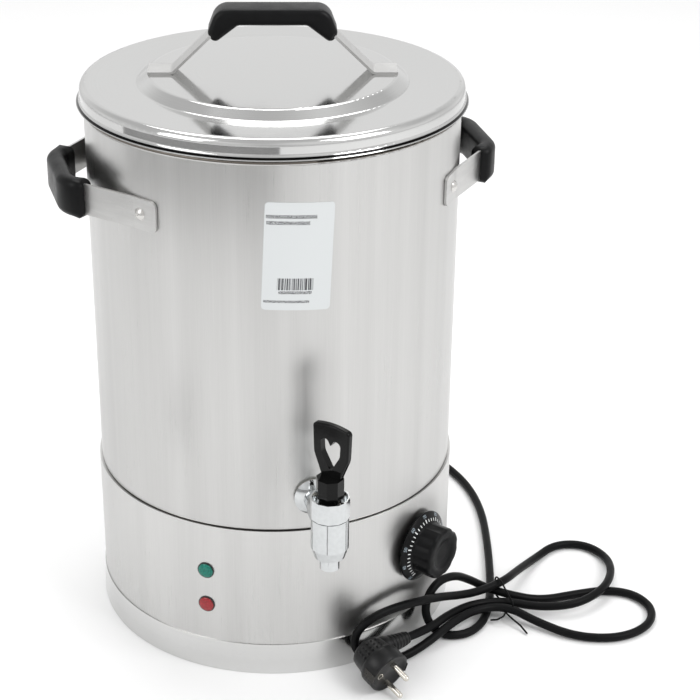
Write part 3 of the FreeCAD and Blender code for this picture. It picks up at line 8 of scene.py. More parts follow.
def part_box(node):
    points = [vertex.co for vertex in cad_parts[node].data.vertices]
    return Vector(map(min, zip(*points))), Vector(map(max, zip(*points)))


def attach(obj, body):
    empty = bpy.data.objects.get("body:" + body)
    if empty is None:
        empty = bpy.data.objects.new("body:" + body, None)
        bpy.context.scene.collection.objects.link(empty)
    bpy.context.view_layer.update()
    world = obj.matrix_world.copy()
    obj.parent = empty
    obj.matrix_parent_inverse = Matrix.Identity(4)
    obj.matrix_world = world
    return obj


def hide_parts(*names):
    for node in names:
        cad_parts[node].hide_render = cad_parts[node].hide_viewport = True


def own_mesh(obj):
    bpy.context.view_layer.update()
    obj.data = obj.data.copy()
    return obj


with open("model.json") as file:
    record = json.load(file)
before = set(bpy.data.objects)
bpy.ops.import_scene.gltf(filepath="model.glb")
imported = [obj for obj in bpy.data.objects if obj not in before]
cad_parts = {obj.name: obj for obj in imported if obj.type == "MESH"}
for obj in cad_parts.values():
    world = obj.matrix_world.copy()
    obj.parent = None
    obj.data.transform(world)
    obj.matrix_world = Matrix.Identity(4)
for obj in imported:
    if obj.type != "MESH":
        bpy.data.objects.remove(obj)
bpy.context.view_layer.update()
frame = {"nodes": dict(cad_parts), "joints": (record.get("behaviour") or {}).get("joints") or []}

# Everything is in metres, in the boiler's own frame: the origin is under its middle, +Z is up
# and the tap looks along -Y.  An azimuth is counted from the tap towards +X.
MM = 0.001
NODES = frame["nodes"]
JOINTS = {joint["name"]: joint for joint in frame["joints"]}
UP = Vector((0, 0, 1))

# the radius at which a turned profile closes on its axis
TIP = 0.0001

# camera: its place, the way it looks, its roll and its lens in millimetres
CAMERA_PLACE = Vector((-0.2616, -1.3210, 0.8796))
CAMERA_FORWARD = Vector((0.2162, 0.8726, -0.438)).normalized()
CAMERA_ROLL, CAMERA_LENS = math.radians(0.762), 90.4

# lights: place, size and power; all of them look at one spot
LIGHTS = {
    "key": ((1.5, -1.5, 2.2), (1.4, 1.4), 34),
    "fill": ((-2.0, -0.9, 1.5), (1.2, 1.6), 16),
    "top": ((0.1, 0.9, 2.4), (1.8, 0.9), 22),
}
LIGHT_TARGET = Vector((0, 0, 0.2))

# grey cards: azimuths of the ends in degrees, distance, levels of the edges, tone
CARDS = {
    "skirt_card": ((-100, -8), 0.75, (0.17, 0.28), 0.32),
    "left_card": ((-68, -60), 0.52, (0.0, 0.06), 0.4),
    "tap_card": ((-16, -12), 0.42, (0.004, 0.075), 0.58),
}
CARD_STEPS = 24

# room: the floor's reach, drop under the boiler and colour, and the walls' brightness
FLOOR_REACH, FLOOR_DROP, FLOOR_COLOR = 6, 0.0002, (0.86, 0.86, 0.86)
ROOM_DIM, ROOM_BRIGHT = 0.72, 1.02

# painted shade on the metal, as dark bands where a gap or an overhang holds shade: lower level,
# upper level and, on brushed steel, tone
TANK_SHADE_BANDS = [(0.1356, 0.1373, 0.02), (0.4454, 0.4520, 0.16)]
LID_SHADE_BANDS = [(0.4496, 0.4512)]
# half the height of the painted shade line at the joint under the tap's collar
TAP_JOINT_SHADE_HALF = 0.0004

# colours of the black plastics, the chrome, the painted shade at gaps and joints, and the painted
# shade on the earth contacts in the plug's slots
BLACK = (0.003, 0.0031, 0.0034)
CHROME = (0.59, 0.605, 0.61)
PAINTED_SHADE_BLACK = (0.01, 0.01, 0.01)
TAP_JOINT_SHADE_GREY = (0.12, 0.125, 0.13)
SLOT_SHADE = (0.05, 0.048, 0.045)

# label: where its middle is on the tank, its colours, and its print.  The printed rectangles
# are given by their middle and half size, the print in them by a noise's scale and the level
# above which it is inked
LABEL_RADIUS, LABEL_LEVEL = 0.1502, 0.372
LABEL_AZIMUTH, LABEL_TILT = math.radians(-4.5), math.radians(-2.5)
LABEL_WHITE, LABEL_INK = (0.585, 0.605, 0.61), (0.05, 0.05, 0.055)
LABEL_STRIPES = ((-0.0012, -0.0219), (0.0136, 0.0048))
LABEL_RULES = [((-0.0060, 0.0318), (0.0190, 0.0014)), ((-0.0083, 0.0269), (0.0162, 0.0014)),
               ((-0.0011, -0.0287), (0.0126, 0.0012)), ((-0.0074, -0.0361), (0.0173, 0.0010))]
LABEL_STRIPE_PRINT, LABEL_RULE_PRINT = (1300.0, 0.49), (1700.0, 0.47)

# side handles and lid handle, as in the CAD model
HANDLE_REACH, HANDLE_CORNER, HANDLE_BEND = 0.1723, 0.029, 0.021
HANDLE_DIRECTION = Vector((-0.656, -0.755))
HANDLE_TURNS = {"right": 0.0, "left": math.radians(183.8)}
GRIP_ARM, GRIP_DEPTH, GRIP_EDGE = 0.0185, 0.014, 0.0062
LID_TURN = math.radians(-11.2)
LID_GRIP_SHOULDER, LID_GRIP_BEND = 0.0435, 0.013
LID_GRIP_TIP = [(0.0508, 0.033, 0.0045), (0.046, 0.0243, 0.0045)]
LID_GRIP_ARCH = (0.027, 0.0388, 0.006)
LID_GRIP_HALF, LID_GRIP_EDGE = 0.014, 0.0043

# dial: radii, distances from the boiler's axis, and the flutes of its grip
DIAL_SKIRT, DIAL_SKIRT_TOP = 0.0306, 0.0226
DIAL_GRIP, DIAL_TIP, DIAL_DISH = 0.0216, 0.022, 0.013
DIAL_BACK, DIAL_RIM, DIAL_STEP, DIAL_FRONT = 0.1553, 0.1569, 0.1609, 0.1784
DIAL_FLUTES, DIAL_FLUTE_DEPTH, DIAL_FLUTE_HALF = 8, 0.001, 0.2
DIAL_BORE, DIAL_HOLLOW, DIAL_SINK = 0.004, 0.006, 0.002
DIAL_SEGMENTS = 192

# dial's graduation: first and last angle from the top, ticks (every fourth one is longer and
# wider) and numerals
SCALE_START, SCALE_END = math.radians(140), math.radians(-140)
TICKS, LONG_TICK_EVERY, TICK_RAISE = 33, 4, 0.0001
TICK_INNER, TICK_OUTER, LONG_TICK_OUTER = 0.0234, 0.0256, 0.0262
TICK_HALF, LONG_TICK_HALF = 0.0004, 0.00055
FIGURES = list(range(30, 120, 10))
FIGURE_REACH, FIGURE_RAISE, FIGURE_SIZE, FIGURE_SWELL = 0.0284, 0.00015, 0.0042, 0.00006

# lamps: how far out the housings' rims are, the lens's radius, and its profile of radius and
# distance from the rim
LAMP_FRONT, LENS_RADIUS = 0.1527, 0.0063
LENS_PROFILE = [
    (TIP, -0.002), (0.005, -0.002), (0.005, 0.0001), (LENS_RADIUS, 0.0001),
    (LENS_RADIUS, 0.0005), (LENS_RADIUS - 0.0004, 0.0009), (LENS_RADIUS - 0.0022, 0.0015),
    (LENS_RADIUS / 3, 0.0018), (TIP, 0.0019),
]
LENS_SEGMENTS = 64

# lead: its diameter and length, and the route of its centre line from the gland to the plug,
# in millimetres
CORD_DIAMETER = 0.0073
CORD_ROUTE = [
    (114.4, 136.4, 45), (130, 155, 45), (150, 171, 34), (173, 175, 17), (194, 163, 4.5),
    (206, 136, 3.8), (213, 98, 3.8), (211, 54, 3.8), (202, 10, 3.8), (192, -30, 3.8),
    (180, -72, 3.8), (168, -104, 3.8), (153, -128, 3.8), (133, -138, 3.8), (114, -131, 4),
    (105, -122, 16), (106, -119, 33), (118, -111, 44), (137, -99, 40), (154, -88, 26),
    (171, -86, 13.5), (188, -98, 11.6), (216, -103, 4.5), (252, -99, 3.8), (280, -99, 3.8),
    (302, -111, 3.8), (309, -136, 3.8), (295, -160, 3.8), (264, -171, 3.8), (228, -161, 3.8),
    (201, -135, 6), (181, -114, 11.4), (153, -113, 11.4), (127, -130, 13.5), (101, -148, 9.5),
    (77, -157, 3.8), (57, -158.5, 3.8), (36, -157.5, 14), (33, -156.5, 32), (47, -154, 45),
    (70, -147, 48), (98, -136, 44), (119, -120, 34), (138, -107, 24), (159, -98, 18.5),
    (185, -91, 21.2), (208, -64, 13), (234, -36, 3.8), (260, -17, 3.8), (287, -23, 3.8),
    (299, -48, 4.5), (292, -80, 9.5), (273, -109, 12.4), (242, -125, 11), (210, -117, 7.5),
    (181, -105.8, 11.4), (152, -104.5, 11.4), (127, -119, 14), (104, -139, 16.5), (80, -152, 19.7),
]

# plug: turned as in the CAD model; X runs out along the lead, -Y along the pins
PLUG_TURN = (Matrix.Rotation(math.radians(28.1), 4, "Z")
             @ Matrix.Rotation(math.radians(6.3), 4, "Y")
             @ Matrix.Rotation(math.radians(13.9), 4, "X"))
PLUG_NECK_END = Vector((0.0423, 0.0265, 0))
# plug's body, from its face's middle back: radius and depth
PLUG_BODY = [
    (TIP, 0.0006), (0.0152, 0.0006), (0.0156, 0.0), (0.0179, 0.0), (0.0185, 0.0007),
    (0.0185, 0.0125), (0.0183, 0.0142), (0.0172, 0.0155), (0.0163, 0.017), (0.0156, 0.021),
    (0.0150, 0.0265), (0.0141, 0.0298), (0.0122, 0.0317), (0.0085, 0.0325), (TIP, 0.0325),
]
PLUG_SEGMENTS, NECK_SEGMENTS, DOT_SEGMENTS = 96, 48, 16
# plug's relief: where its plain root starts and ends and the radii there, the radius of its
# own end, and the ribs between; the shares say where in a rib's pitch its crest and valley lie
NECK_START, NECK_ROOT, NECK_RADIUS = 0.006, 0.0175, 0.0054
ROOT_RADIUS, ROOT_END_RADIUS = 0.0095, 0.0090
RIBS, RIB_FIRST, RIB_LAST_GAP = 6, 0.0185, 0.001
RIB_RADIUS, RIB_TAPER, RIB_DEPTH = 0.0082, 0.0026, 0.0013
CREST_END, VALLEY_START, VALLEY_END = 0.55, 0.65, 0.92
# plug's grip dots: rows along the pins' axis, columns round it
DOT_ROWS, DOT_FIRST_ROW, DOT_ROW_STEP = 3, 0.0187, 0.0038
DOT_COLUMNS, DOT_MIDDLE, DOT_COLUMN_STEP = 5, -30, 17
DOT_REACH, DOT_REACH_LOSS = 0.0160, 0.0005
DOT_PROFILE = [(0.0010, -0.0004), (0.0010, 0.0004), (0.0007, 0.0009), (TIP, 0.0010)]
# beyond this distance from the plug's middle its earth contacts lie in the slots at its sides
EARTH_SLOT = 0.0148


# ---------------------------------------------------------------- objects and nodes

def add_object(name, data):
    """An object of some data in the scene."""
    made = bpy.data.objects.new(name, data)
    bpy.context.scene.collection.objects.link(made)
    return made


def add_node(tree, kind, inputs=None, **settings):
    """A node of a kind; an input is a value or another node's output."""
    made = tree.nodes.new("ShaderNode" + kind)
    for key, value in settings.items():
        setattr(made, key, value)
    for key, value in (inputs or {}).items():
        if isinstance(value, bpy.types.NodeSocket):
            tree.links.new(value, made.inputs[key])
        else:
            made.inputs[key].default_value = value
    return made


# ---------------------------------------------------------------- camera, room and light

def make_camera():
    """The camera looks down at the front, a little from the left."""
    level = CAMERA_FORWARD.cross(UP).normalized()
    upright = level.cross(CAMERA_FORWARD)
    right = level * math.cos(CAMERA_ROLL) + upright * math.sin(CAMERA_ROLL)
    up = upright * math.cos(CAMERA_ROLL) - level * math.sin(CAMERA_ROLL)
    data = bpy.data.cameras.new("camera")
    data.lens = CAMERA_LENS
    data.clip_start = 0.05
    data.clip_end = 60
    camera = add_object("camera", data)
    turn = Matrix((right, up, -CAMERA_FORWARD)).transposed().to_4x4()
    camera.matrix_world = Matrix.Translation(CAMERA_PLACE) @ turn
    bpy.context.scene.camera = camera


def make_light(name, place, size, power):
    """A soft rectangular light that looks at the boiler."""
    data = bpy.data.lights.new(name, "AREA")
    data.shape = "RECTANGLE"
    data.size, data.size_y = size
    data.energy = power
    light = add_object(name, data)
    light.location = place
    aim = LIGHT_TARGET - Vector(place)
    light.rotation_euler = aim.to_track_quat("-Z", "Y").to_euler()


def make_card(name, azimuths, reach, levels, tone):
    """A curved grey card that shows only in reflections, as a photographer's flag does."""
    first, last = azimuths
    rows = []
    for i in range(CARD_STEPS + 1):
        angle = math.radians(first + (last - first) * i / CARD_STEPS)
        rows += [(reach * math.sin(angle), -reach * math.cos(angle), level) for level in levels]
    faces = [(2 * i, 2 * i + 1, 2 * i + 3, 2 * i + 2) for i in range(CARD_STEPS)]
    mesh = bpy.data.meshes.new(name)
    mesh.from_pydata(rows, [], faces)
    mesh.materials.append(Paint(name + "_paint", color=(tone, tone, tone)).material)
    card = add_object(name, mesh)
    card.visible_camera = False
    card.visible_diffuse = False
    card.visible_shadow = False


def make_floor():
    """A plain pale floor."""
    reach = FLOOR_REACH
    corners = [(-reach, -reach, 0), (reach, -reach, 0), (reach, reach, 0), (-reach, reach, 0)]
    mesh = bpy.data.meshes.new("floor")
    mesh.from_pydata(corners, [], [(0, 1, 2, 3)])
    floor = add_object("floor", mesh)
    floor.location.z = -FLOOR_DROP
    mesh.materials.append(Paint("floor_paint", color=FLOOR_COLOR, roughness=0.7).material)


def make_room():
    """A white room, a little dimmer in some places than in others."""
    world = bpy.data.worlds.new("room")
    world.use_nodes = True
    room = world.node_tree
    place = add_node(room, "TexCoord").outputs["Generated"]
    drift = add_node(room, "TexNoise", {"Vector": place, "Scale": 1.3, "Detail": 1})
    tone = add_node(room, "MapRange", {"Value": drift.outputs["Fac"],
                                       "From Min": 0.35, "From Max": 0.65,
                                       "To Min": ROOM_DIM, "To Max": ROOM_BRIGHT})
    back = room.nodes["Background"]
    back.inputs["Color"].default_value = (1, 1, 1, 1)
    room.links.new(tone.outputs["Result"], back.inputs["Strength"])
    bpy.context.scene.world = world


def make_surroundings():
    """A pale floor, a white room, soft lights and the cards."""
    make_floor()
    make_room()
    for name, setting in LIGHTS.items():
        make_light(name, *setting)
    for name, setting in CARDS.items():
        make_card(name, *setting)
    bpy.context.scene.view_settings.view_transform = "Standard"


# ---------------------------------------------------------------- materials

class Paint:
    """A material built one node at a time round one Principled shader."""

    def __init__(self, name, color=(0.8, 0.8, 0.8), metallic=0.0, roughness=0.5, **sockets):
        self.material = bpy.data.materials.new(name)
        self.material.use_nodes = True
        self.tree = self.material.node_tree
        self.shader = self.tree.nodes["Principled BSDF"]
        self.color = tuple(color)
        self.shader.inputs["Base Color"].default_value = (*color, 1)
        self.shader.inputs["Metallic"].default_value = metallic
        self.shader.inputs["Roughness"].default_value = roughness
        for socket, value in sockets.items():
            self.shader.inputs[socket.replace("_", " ")].default_value = value

    def node(self, kind, inputs=None, **settings):
        """A node of this material."""
        return add_node(self.tree, kind, inputs, **settings)

    def place(self, stretch=(1, 1, 1)):
        """The piece's own coordinates in metres, stretched."""
        here = self.node("TexCoord").outputs["Object"]
        return self.node("Mapping", {"Vector": here, "Scale": stretch}).outputs["Vector"]

    def rings(self, pitch):
        """A coordinate that changes only with the distance from the boiler's axis."""
        flat = self.place((1, 1, 0))
        reach = self.node("VectorMath", {0: flat}, operation="LENGTH").outputs["Value"]
        scaled = self.math("MULTIPLY", reach, 1 / pitch)
        return self.node("CombineXYZ", {"X": scaled}).outputs["Vector"]

    def noise(self, vector, scale=1.0, detail=2.0, roughness=0.5):
        """Noise from 0 to 1 at a coordinate."""
        return self.node("TexNoise", {"Vector": vector, "Scale": scale, "Detail": detail,
                                      "Roughness": roughness}).outputs["Fac"]

    def spread(self, value, low, high, start=0.3, end=0.7):
        """A value from start to end mapped to low to high."""
        return self.node("MapRange", {"Value": value, "From Min": start, "From Max": end,
                                      "To Min": low, "To Max": high}).outputs["Result"]

    def math(self, operation, first, second=0.0):
        """A sum, product or comparison of two numbers."""
        return self.node("Math", {0: first, 1: second}, operation=operation).outputs[0]

    def blended(self, factor, first, second):
        """The shader's colour goes from the first to the second as the factor goes to one."""
        mix = self.node("Mix", {"Factor": factor, "A": first, "B": (*second, 1)},
                        data_type="RGBA")
        self.tree.links.new(mix.outputs["Result"], self.shader.inputs["Base Color"])

    def overlaid(self, factor, color):
        """Another colour covers the shader's own where the factor is one."""
        under = self.shader.inputs["Base Color"].links[0].from_socket
        self.blended(factor, under, color)

    def tinted(self, value, dark, light):
        """The shader's colour varies from dark to light times its own."""
        darker = [part * dark for part in self.color]
        lighter = [min(part * light, 1) for part in self.color]
        self.blended(self.spread(value, 0, 1), (*darker, 1), lighter)

    def banded(self, low, high, color):
        """A ring of another colour between two heights."""
        height = self.node("SeparateXYZ", {"Vector": self.place()}).outputs["Z"]
        inside = self.math("MULTIPLY", self.math("GREATER_THAN", height, low),
                           self.math("LESS_THAN", height, high))
        self.overlaid(inside, color)

    def rough(self, value, low, high):
        """The shader's roughness varies between two numbers."""
        self.tree.links.new(self.spread(value, low, high), self.shader.inputs["Roughness"])

    def bump(self, height, depth):
        """Relief of a depth in metres."""
        made = self.node("Bump", {"Height": height, "Distance": depth, "Strength": 1.0})
        self.tree.links.new(made.outputs["Normal"], self.shader.inputs["Normal"])


def brushed_steel(name, fine, broad, tone, shade_bands=()):
    """Brushed stainless steel, its lines along the least stretched axis, with painted shade in
    dark bands.
    """
    paint = Paint(name, (tone, tone * 0.995, tone * 0.98), 1.0, 0.3, Anisotropic=0.6)
    around = paint.node("Tangent", direction_type="RADIAL", axis="Z").outputs["Tangent"]
    paint.tree.links.new(around, paint.shader.inputs["Tangent"])
    lines = paint.noise(paint.place(fine), detail=4, roughness=0.7)
    bands = paint.noise(paint.place(broad), detail=2)
    smudges = paint.noise(paint.place((9, 9, 6)), detail=3)
    paint.tinted(paint.math("ADD", paint.math("MULTIPLY", lines, 0.45),
                            paint.math("MULTIPLY", bands, 0.55)), 0.92, 1.07)
    paint.rough(paint.math("ADD", paint.math("MULTIPLY", lines, 0.6),
                           paint.math("MULTIPLY", smudges, 0.4)), 0.25, 0.37)
    paint.bump(lines, 0.000012)
    # painted shade: each band darkens the steel between two heights, for the shade in the gap
    # above the casing's top and under the lid's flared edge
    for low, high, shade in shade_bands:
        paint.banded(low, high, (shade, shade * 0.9, shade * 0.8))
    return paint.material


def spun_steel(name, tone, low=0.05, high=0.13, shade_bands=()):
    """Polished spun steel with faint rings and smudges, and with painted shade in dark bands."""
    paint = Paint(name, (tone, tone, tone * 0.99), 1.0, 0.08)
    rings = paint.noise(paint.rings(0.0009), detail=3, roughness=0.7)
    smudges = paint.noise(paint.place((14, 14, 14)), detail=4, roughness=0.6)
    paint.tinted(rings, 0.95, 1.03)
    paint.rough(smudges, low, high)
    paint.bump(rings, 0.000003)
    # painted shade: a near-black band on the lid's flared edge, for the shade of the gap over the
    # tank's rim
    for lower, upper in shade_bands:
        paint.banded(lower, upper, PAINTED_SHADE_BLACK)
    return paint.material


def plain_metal(name, color, low, high, grain=900.0):
    """Plated or bare metal with slight mottling."""
    paint = Paint(name, color, 1.0, low)
    mottle = paint.noise(paint.place(), grain, detail=3)
    paint.tinted(mottle, 0.93, 1.05)
    paint.rough(paint.noise(paint.place(), 60.0, detail=3), low, high)
    paint.bump(mottle, 0.000004)
    return paint.material


def barrel_chrome():
    """The tap's chrome, with painted shade as a dark line at the joint under its collar."""
    paint = Paint("barrel_chrome", CHROME, 1.0, 0.05)
    paint.tinted(paint.noise(paint.place(), 300.0, detail=3), 0.95, 1.04)
    paint.rough(paint.noise(paint.place(), 60.0, detail=3), 0.03, 0.07)
    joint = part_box("tap_collar")[0].z
    # painted shade: a dark grey line where the collar meets the barrel
    paint.banded(joint - TAP_JOINT_SHADE_HALF, joint + TAP_JOINT_SHADE_HALF, TAP_JOINT_SHADE_GREY)
    return paint.material


def earth_contact_metal():
    """Bright metal on the plug's face, and the same metal darkened by painted shade in the slots
    at its sides.
    """
    paint = Paint("earth_contact", (0.6, 0.58, 0.54), 1.0, 0.25)
    place = plug_place()
    from_middle = paint.node("VectorMath", {0: paint.place(), 1: place.translation},
                             operation="SUBTRACT").outputs["Vector"]
    across = paint.node("VectorMath", {0: from_middle, 1: place.to_3x3().col[0]},
                        operation="DOT_PRODUCT").outputs["Value"]
    in_slot = paint.math("GREATER_THAN", paint.math("ABSOLUTE", across), EARTH_SLOT)
    mottle = paint.noise(paint.place(), 900.0, detail=3)
    paint.tinted(mottle, 0.93, 1.05)
    # painted shade: the contacts inside the slots are darkened for the shade there
    paint.overlaid(in_slot, SLOT_SHADE)
    paint.rough(mottle, 0.2, 0.34)
    return paint.material


def moulded(name, color, low, high, grain, depth, **sockets):
    """Moulded plastic, rubber or phenolic with a fine grain and slight handling marks."""
    paint = Paint(name, color, 0.0, low, **sockets)
    stipple = paint.noise(paint.place(), grain, detail=2)
    marks = paint.noise(paint.place(), 70.0, detail=4, roughness=0.65)
    paint.tinted(marks, 0.8, 1.35)
    paint.rough(marks, low, high)
    paint.bump(stipple, depth)
    return paint.material


def lens_plastic(name, color):
    """Clear coloured plastic with a faceted look behind its dome."""
    paint = Paint(name, color, 0.0, 0.12, Transmission_Weight=0.1, IOR=1.45)
    cells = paint.node("TexVoronoi", {"Vector": paint.place(), "Scale": 900.0})
    paint.tinted(cells.outputs["Distance"], 0.75, 1.3)
    paint.rough(paint.noise(paint.place(), 400.0), 0.1, 0.2)
    paint.bump(cells.outputs["Distance"], 0.00003)
    return paint.material


def label_spot(paint):
    """How far a point lies across the label and up it from its middle."""
    here = paint.node("SeparateXYZ", {"Vector": paint.place()})
    front = paint.math("MULTIPLY", here.outputs["Y"], -1.0)
    angle = paint.math("ARCTAN2", here.outputs["X"], front)
    side = paint.math("MULTIPLY", paint.math("SUBTRACT", angle, LABEL_AZIMUTH), LABEL_RADIUS)
    height = paint.math("SUBTRACT", here.outputs["Z"], LABEL_LEVEL)
    across = paint.math("ADD", paint.math("MULTIPLY", side, math.cos(LABEL_TILT)),
                        paint.math("MULTIPLY", height, math.sin(LABEL_TILT)))
    up = paint.math("SUBTRACT", paint.math("MULTIPLY", height, math.cos(LABEL_TILT)),
                    paint.math("MULTIPLY", side, math.sin(LABEL_TILT)))
    return across, up


def block(paint, spot, middle, half):
    """One inside a rectangle of the label, zero outside."""
    inside = []
    for value, centre, reach in zip(spot, middle, half):
        away = paint.math("ABSOLUTE", paint.math("SUBTRACT", value, centre))
        inside.append(paint.math("LESS_THAN", away, reach))
    return paint.math("MULTIPLY", *inside)


def pattern(paint, coordinates, scale, level):
    """One where the label's print has ink, zero between."""
    spot = paint.node("CombineXYZ", coordinates).outputs["Vector"]
    return paint.math("GREATER_THAN", paint.noise(spot, scale, 1), level)


def label_paper():
    """White paper printed with plain grey rules and a block of stripes."""
    paint = Paint("label_paper", LABEL_WHITE, 0.0, 0.45)
    across, up = label_spot(paint)
    stripes = pattern(paint, {"X": across}, *LABEL_STRIPE_PRINT)
    specks = pattern(paint, {"X": across, "Y": up}, *LABEL_RULE_PRINT)
    ink = paint.math("MULTIPLY", block(paint, (across, up), *LABEL_STRIPES), stripes)
    for middle, half in LABEL_RULES:
        rule = paint.math("MULTIPLY", block(paint, (across, up), middle, half), specks)
        ink = paint.math("MAXIMUM", ink, rule)
    paint.blended(ink, (*LABEL_WHITE, 1), LABEL_INK)
    paint.bump(paint.noise(paint.place(), 1800.0, 3), 0.00001)
    return paint.material


def make_metals():
    """The metals, by the names they are used under."""
    return {
        "tank": brushed_steel("tank_steel", (1500, 1500, 14), (60, 60, 0.7), 0.545, TANK_SHADE_BANDS),
        "casing": brushed_steel("casing_steel", (1600, 1600, 16), (45, 45, 1.1), 0.585),
        "strap": brushed_steel("strap_steel", (120, 120, 1800), (40, 40, 300), 0.56),
        "lid": spun_steel("lid_steel", 0.585, shade_bands=LID_SHADE_BANDS),
        "ring": spun_steel("ring_steel", 0.585),
        "pan": spun_steel("pan_steel", 0.66, 0.08, 0.18),
        "chrome": plain_metal("tap_chrome", CHROME, 0.03, 0.07, 300.0),
        "tap": barrel_chrome(),
        "rivet": plain_metal("rivet_steel", (0.62, 0.61, 0.59), 0.16, 0.3),
        "zinc": plain_metal("zinc_plate", (0.58, 0.59, 0.6), 0.3, 0.45),
        "brass": plain_metal("bare_brass", (0.62, 0.46, 0.2), 0.22, 0.4),
        "copper": plain_metal("copper_tube", (0.62, 0.32, 0.2), 0.25, 0.4),
        "nickel": plain_metal("nickel_plate", (0.66, 0.63, 0.57), 0.14, 0.28),
        "earth": earth_contact_metal(),
        "element": plain_metal("element_sheath", (0.5, 0.48, 0.46), 0.3, 0.5),
    }


def make_mouldings():
    """The plastics, rubbers, phenolic and ceramic, by the names they are used under."""
    return {
        "grip": moulded("grip_phenolic", BLACK, 0.3, 0.44, 2600.0, 0.00003,
                        Specular_IOR_Level=0.15),
        "lever": moulded("lever_plastic", (0.003, 0.003, 0.003), 0.05, 0.12, 700.0, 0.000006,
                         Specular_IOR_Level=0.16),
        "dial": moulded("dial_plastic", BLACK, 0.26, 0.4, 1800.0, 0.00002,
                        Specular_IOR_Level=0.13),
        "ticks": moulded("dial_ticks", (0.66, 0.68, 0.68), 0.4, 0.5, 900.0, 0.00001),
        "figures": moulded("dial_figures", (0.22, 0.26, 0.29), 0.4, 0.5, 900.0, 0.00001),
        "cord": moulded("cord_pvc", BLACK, 0.36, 0.5, 1500.0, 0.00003,
                        Specular_IOR_Level=0.1),
        "plug": moulded("plug_pvc", BLACK, 0.3, 0.42, 2200.0, 0.00002,
                        Specular_IOR_Level=0.3),
        "switch": moulded("switch_plastic", (0.02, 0.02, 0.02), 0.4, 0.5, 1500.0, 0.00002),
        "silicone": moulded("silicone", (0.72, 0.71, 0.67), 0.35, 0.5, 900.0, 0.00001),
        "ceramic": moulded("terminal_ceramic", (0.78, 0.75, 0.68), 0.4, 0.6, 1200.0, 0.00003),
        "wires": moulded("wire_insulation", (0.12, 0.15, 0.4), 0.35, 0.5, 900.0, 0.00001),
        "green": lens_plastic("green_plastic", (0.0, 0.15, 0.11)),
        "red": lens_plastic("red_plastic", (0.3, 0.022, 0.027)),
    }


# what each CAD node that stays is made of
CAD_MATERIALS = {
    "tank_shell": "tank", "tank_floor": "ring", "base_casing": "casing", "bottom_pan": "pan",
    "pan_brackets": "zinc", "pan_screws": "zinc",
    "lid_shell": "lid", "lid_locating_ring": "ring", "lid_handle_strap": "strap",
    "handle_strap_left": "strap", "handle_strap_right": "strap", "handle_rivets": "rivet",
    "tap_flange": "chrome", "tap_outer_gasket": "silicone", "tap_inner_gasket": "silicone",
    "tap_lock_nut": "brass", "tap_body": "tap", "tap_collar": "tap", "tap_lever": "lever",
    "lever_pin": "nickel", "valve_stem": "rivet", "seat_cup": "silicone",
    "heating_element": "element", "element_bushings": "brass", "element_gaskets": "silicone",
    "element_nuts": "brass", "element_blades": "nickel", "thermal_cutout": "switch",
    "thermostat_body": "switch", "thermostat_screws": "zinc", "thermostat_shaft": "zinc",
    "thermostat_bulb": "copper", "thermostat_capillary": "copper",
    "lamp_bodies": "switch", "lamp_nuts": "switch",
    "terminal_block": "ceramic", "earth_stud": "brass", "wiring": "wires",
    "cord_gland": "plug", "gland_nut": "switch", "cord_tie": "cord", "plug_pins": "nickel",
    "plug_earth_contacts": "earth", "label_sticker": "label",
}


def coat_cad_nodes(materials):
    """Give every CAD node that stays its material."""
    for name, key in CAD_MATERIALS.items():
        data = NODES[name].data
        data.materials.clear()
        data.materials.append(materials[key])


# ---------------------------------------------------------------- mesh helpers

def add_mesh(name, rows, faces, material, smooth=True):
    """A mesh object from corners and faces."""
    mesh = bpy.data.meshes.new(name)
    mesh.from_pydata([tuple(row) for row in rows], [], faces)
    mesh.validate()
    mesh.materials.append(material)
    if smooth:
        mesh.shade_smooth()
    return add_object(name, mesh)


def rounded_outline(corners, radii, steps=8):
    """A closed outline of points with an arc at each corner."""
    points = []
    count = len(corners)
    for i, (corner, radius) in enumerate(zip(corners, radii)):
        spot = Vector(corner)
        back = (Vector(corners[i - 1]) - spot).normalized()
        ahead = (Vector(corners[(i + 1) % count]) - spot).normalized()
        half = back.angle(ahead) / 2
        if radius == 0:
            points.append(spot)
            continue
        centre = spot + (back + ahead).normalized() * (radius / math.sin(half))
        first = spot + back * (radius / math.tan(half)) - centre
        last = spot + ahead * (radius / math.tan(half)) - centre
        for k in range(steps + 1):
            points.append(centre + first.slerp(last, k / steps).normalized() * radius)
    return points


def strip_outline(line, radii, half):
    """The closed outline of a bent bar about its middle line, and its corner radii."""
    spots = [Vector(point) for point in line]
    runs = [(b - a).normalized() for a, b in zip(spots, spots[1:])]
    runs = [runs[0]] + runs + [runs[-1]]
    left, right = [], []
    for spot, before, after, radius in zip(spots, runs, runs[1:], radii):
        side = Vector((-before.y - after.y, before.x + after.x))
        shift = side * (half / (1 + before.dot(after)))
        sign = 0 if radius == 0 else math.copysign(1, before.cross(after))
        left.append((spot + shift, radius - sign * half))
        right.append((spot - shift, radius + sign * half))
    outline = left + right[::-1]
    return [point for point, _ in outline], [radius for _, radius in outline]


def ring_faces(layers, count):
    """Four-sided faces between rings of corners that follow one another."""
    faces = []
    for layer in range(layers - 1):
        for i in range(count):
            a, b = layer * count + i, layer * count + (i + 1) % count
            faces.append((a, b, b + count, a + count))
    return faces


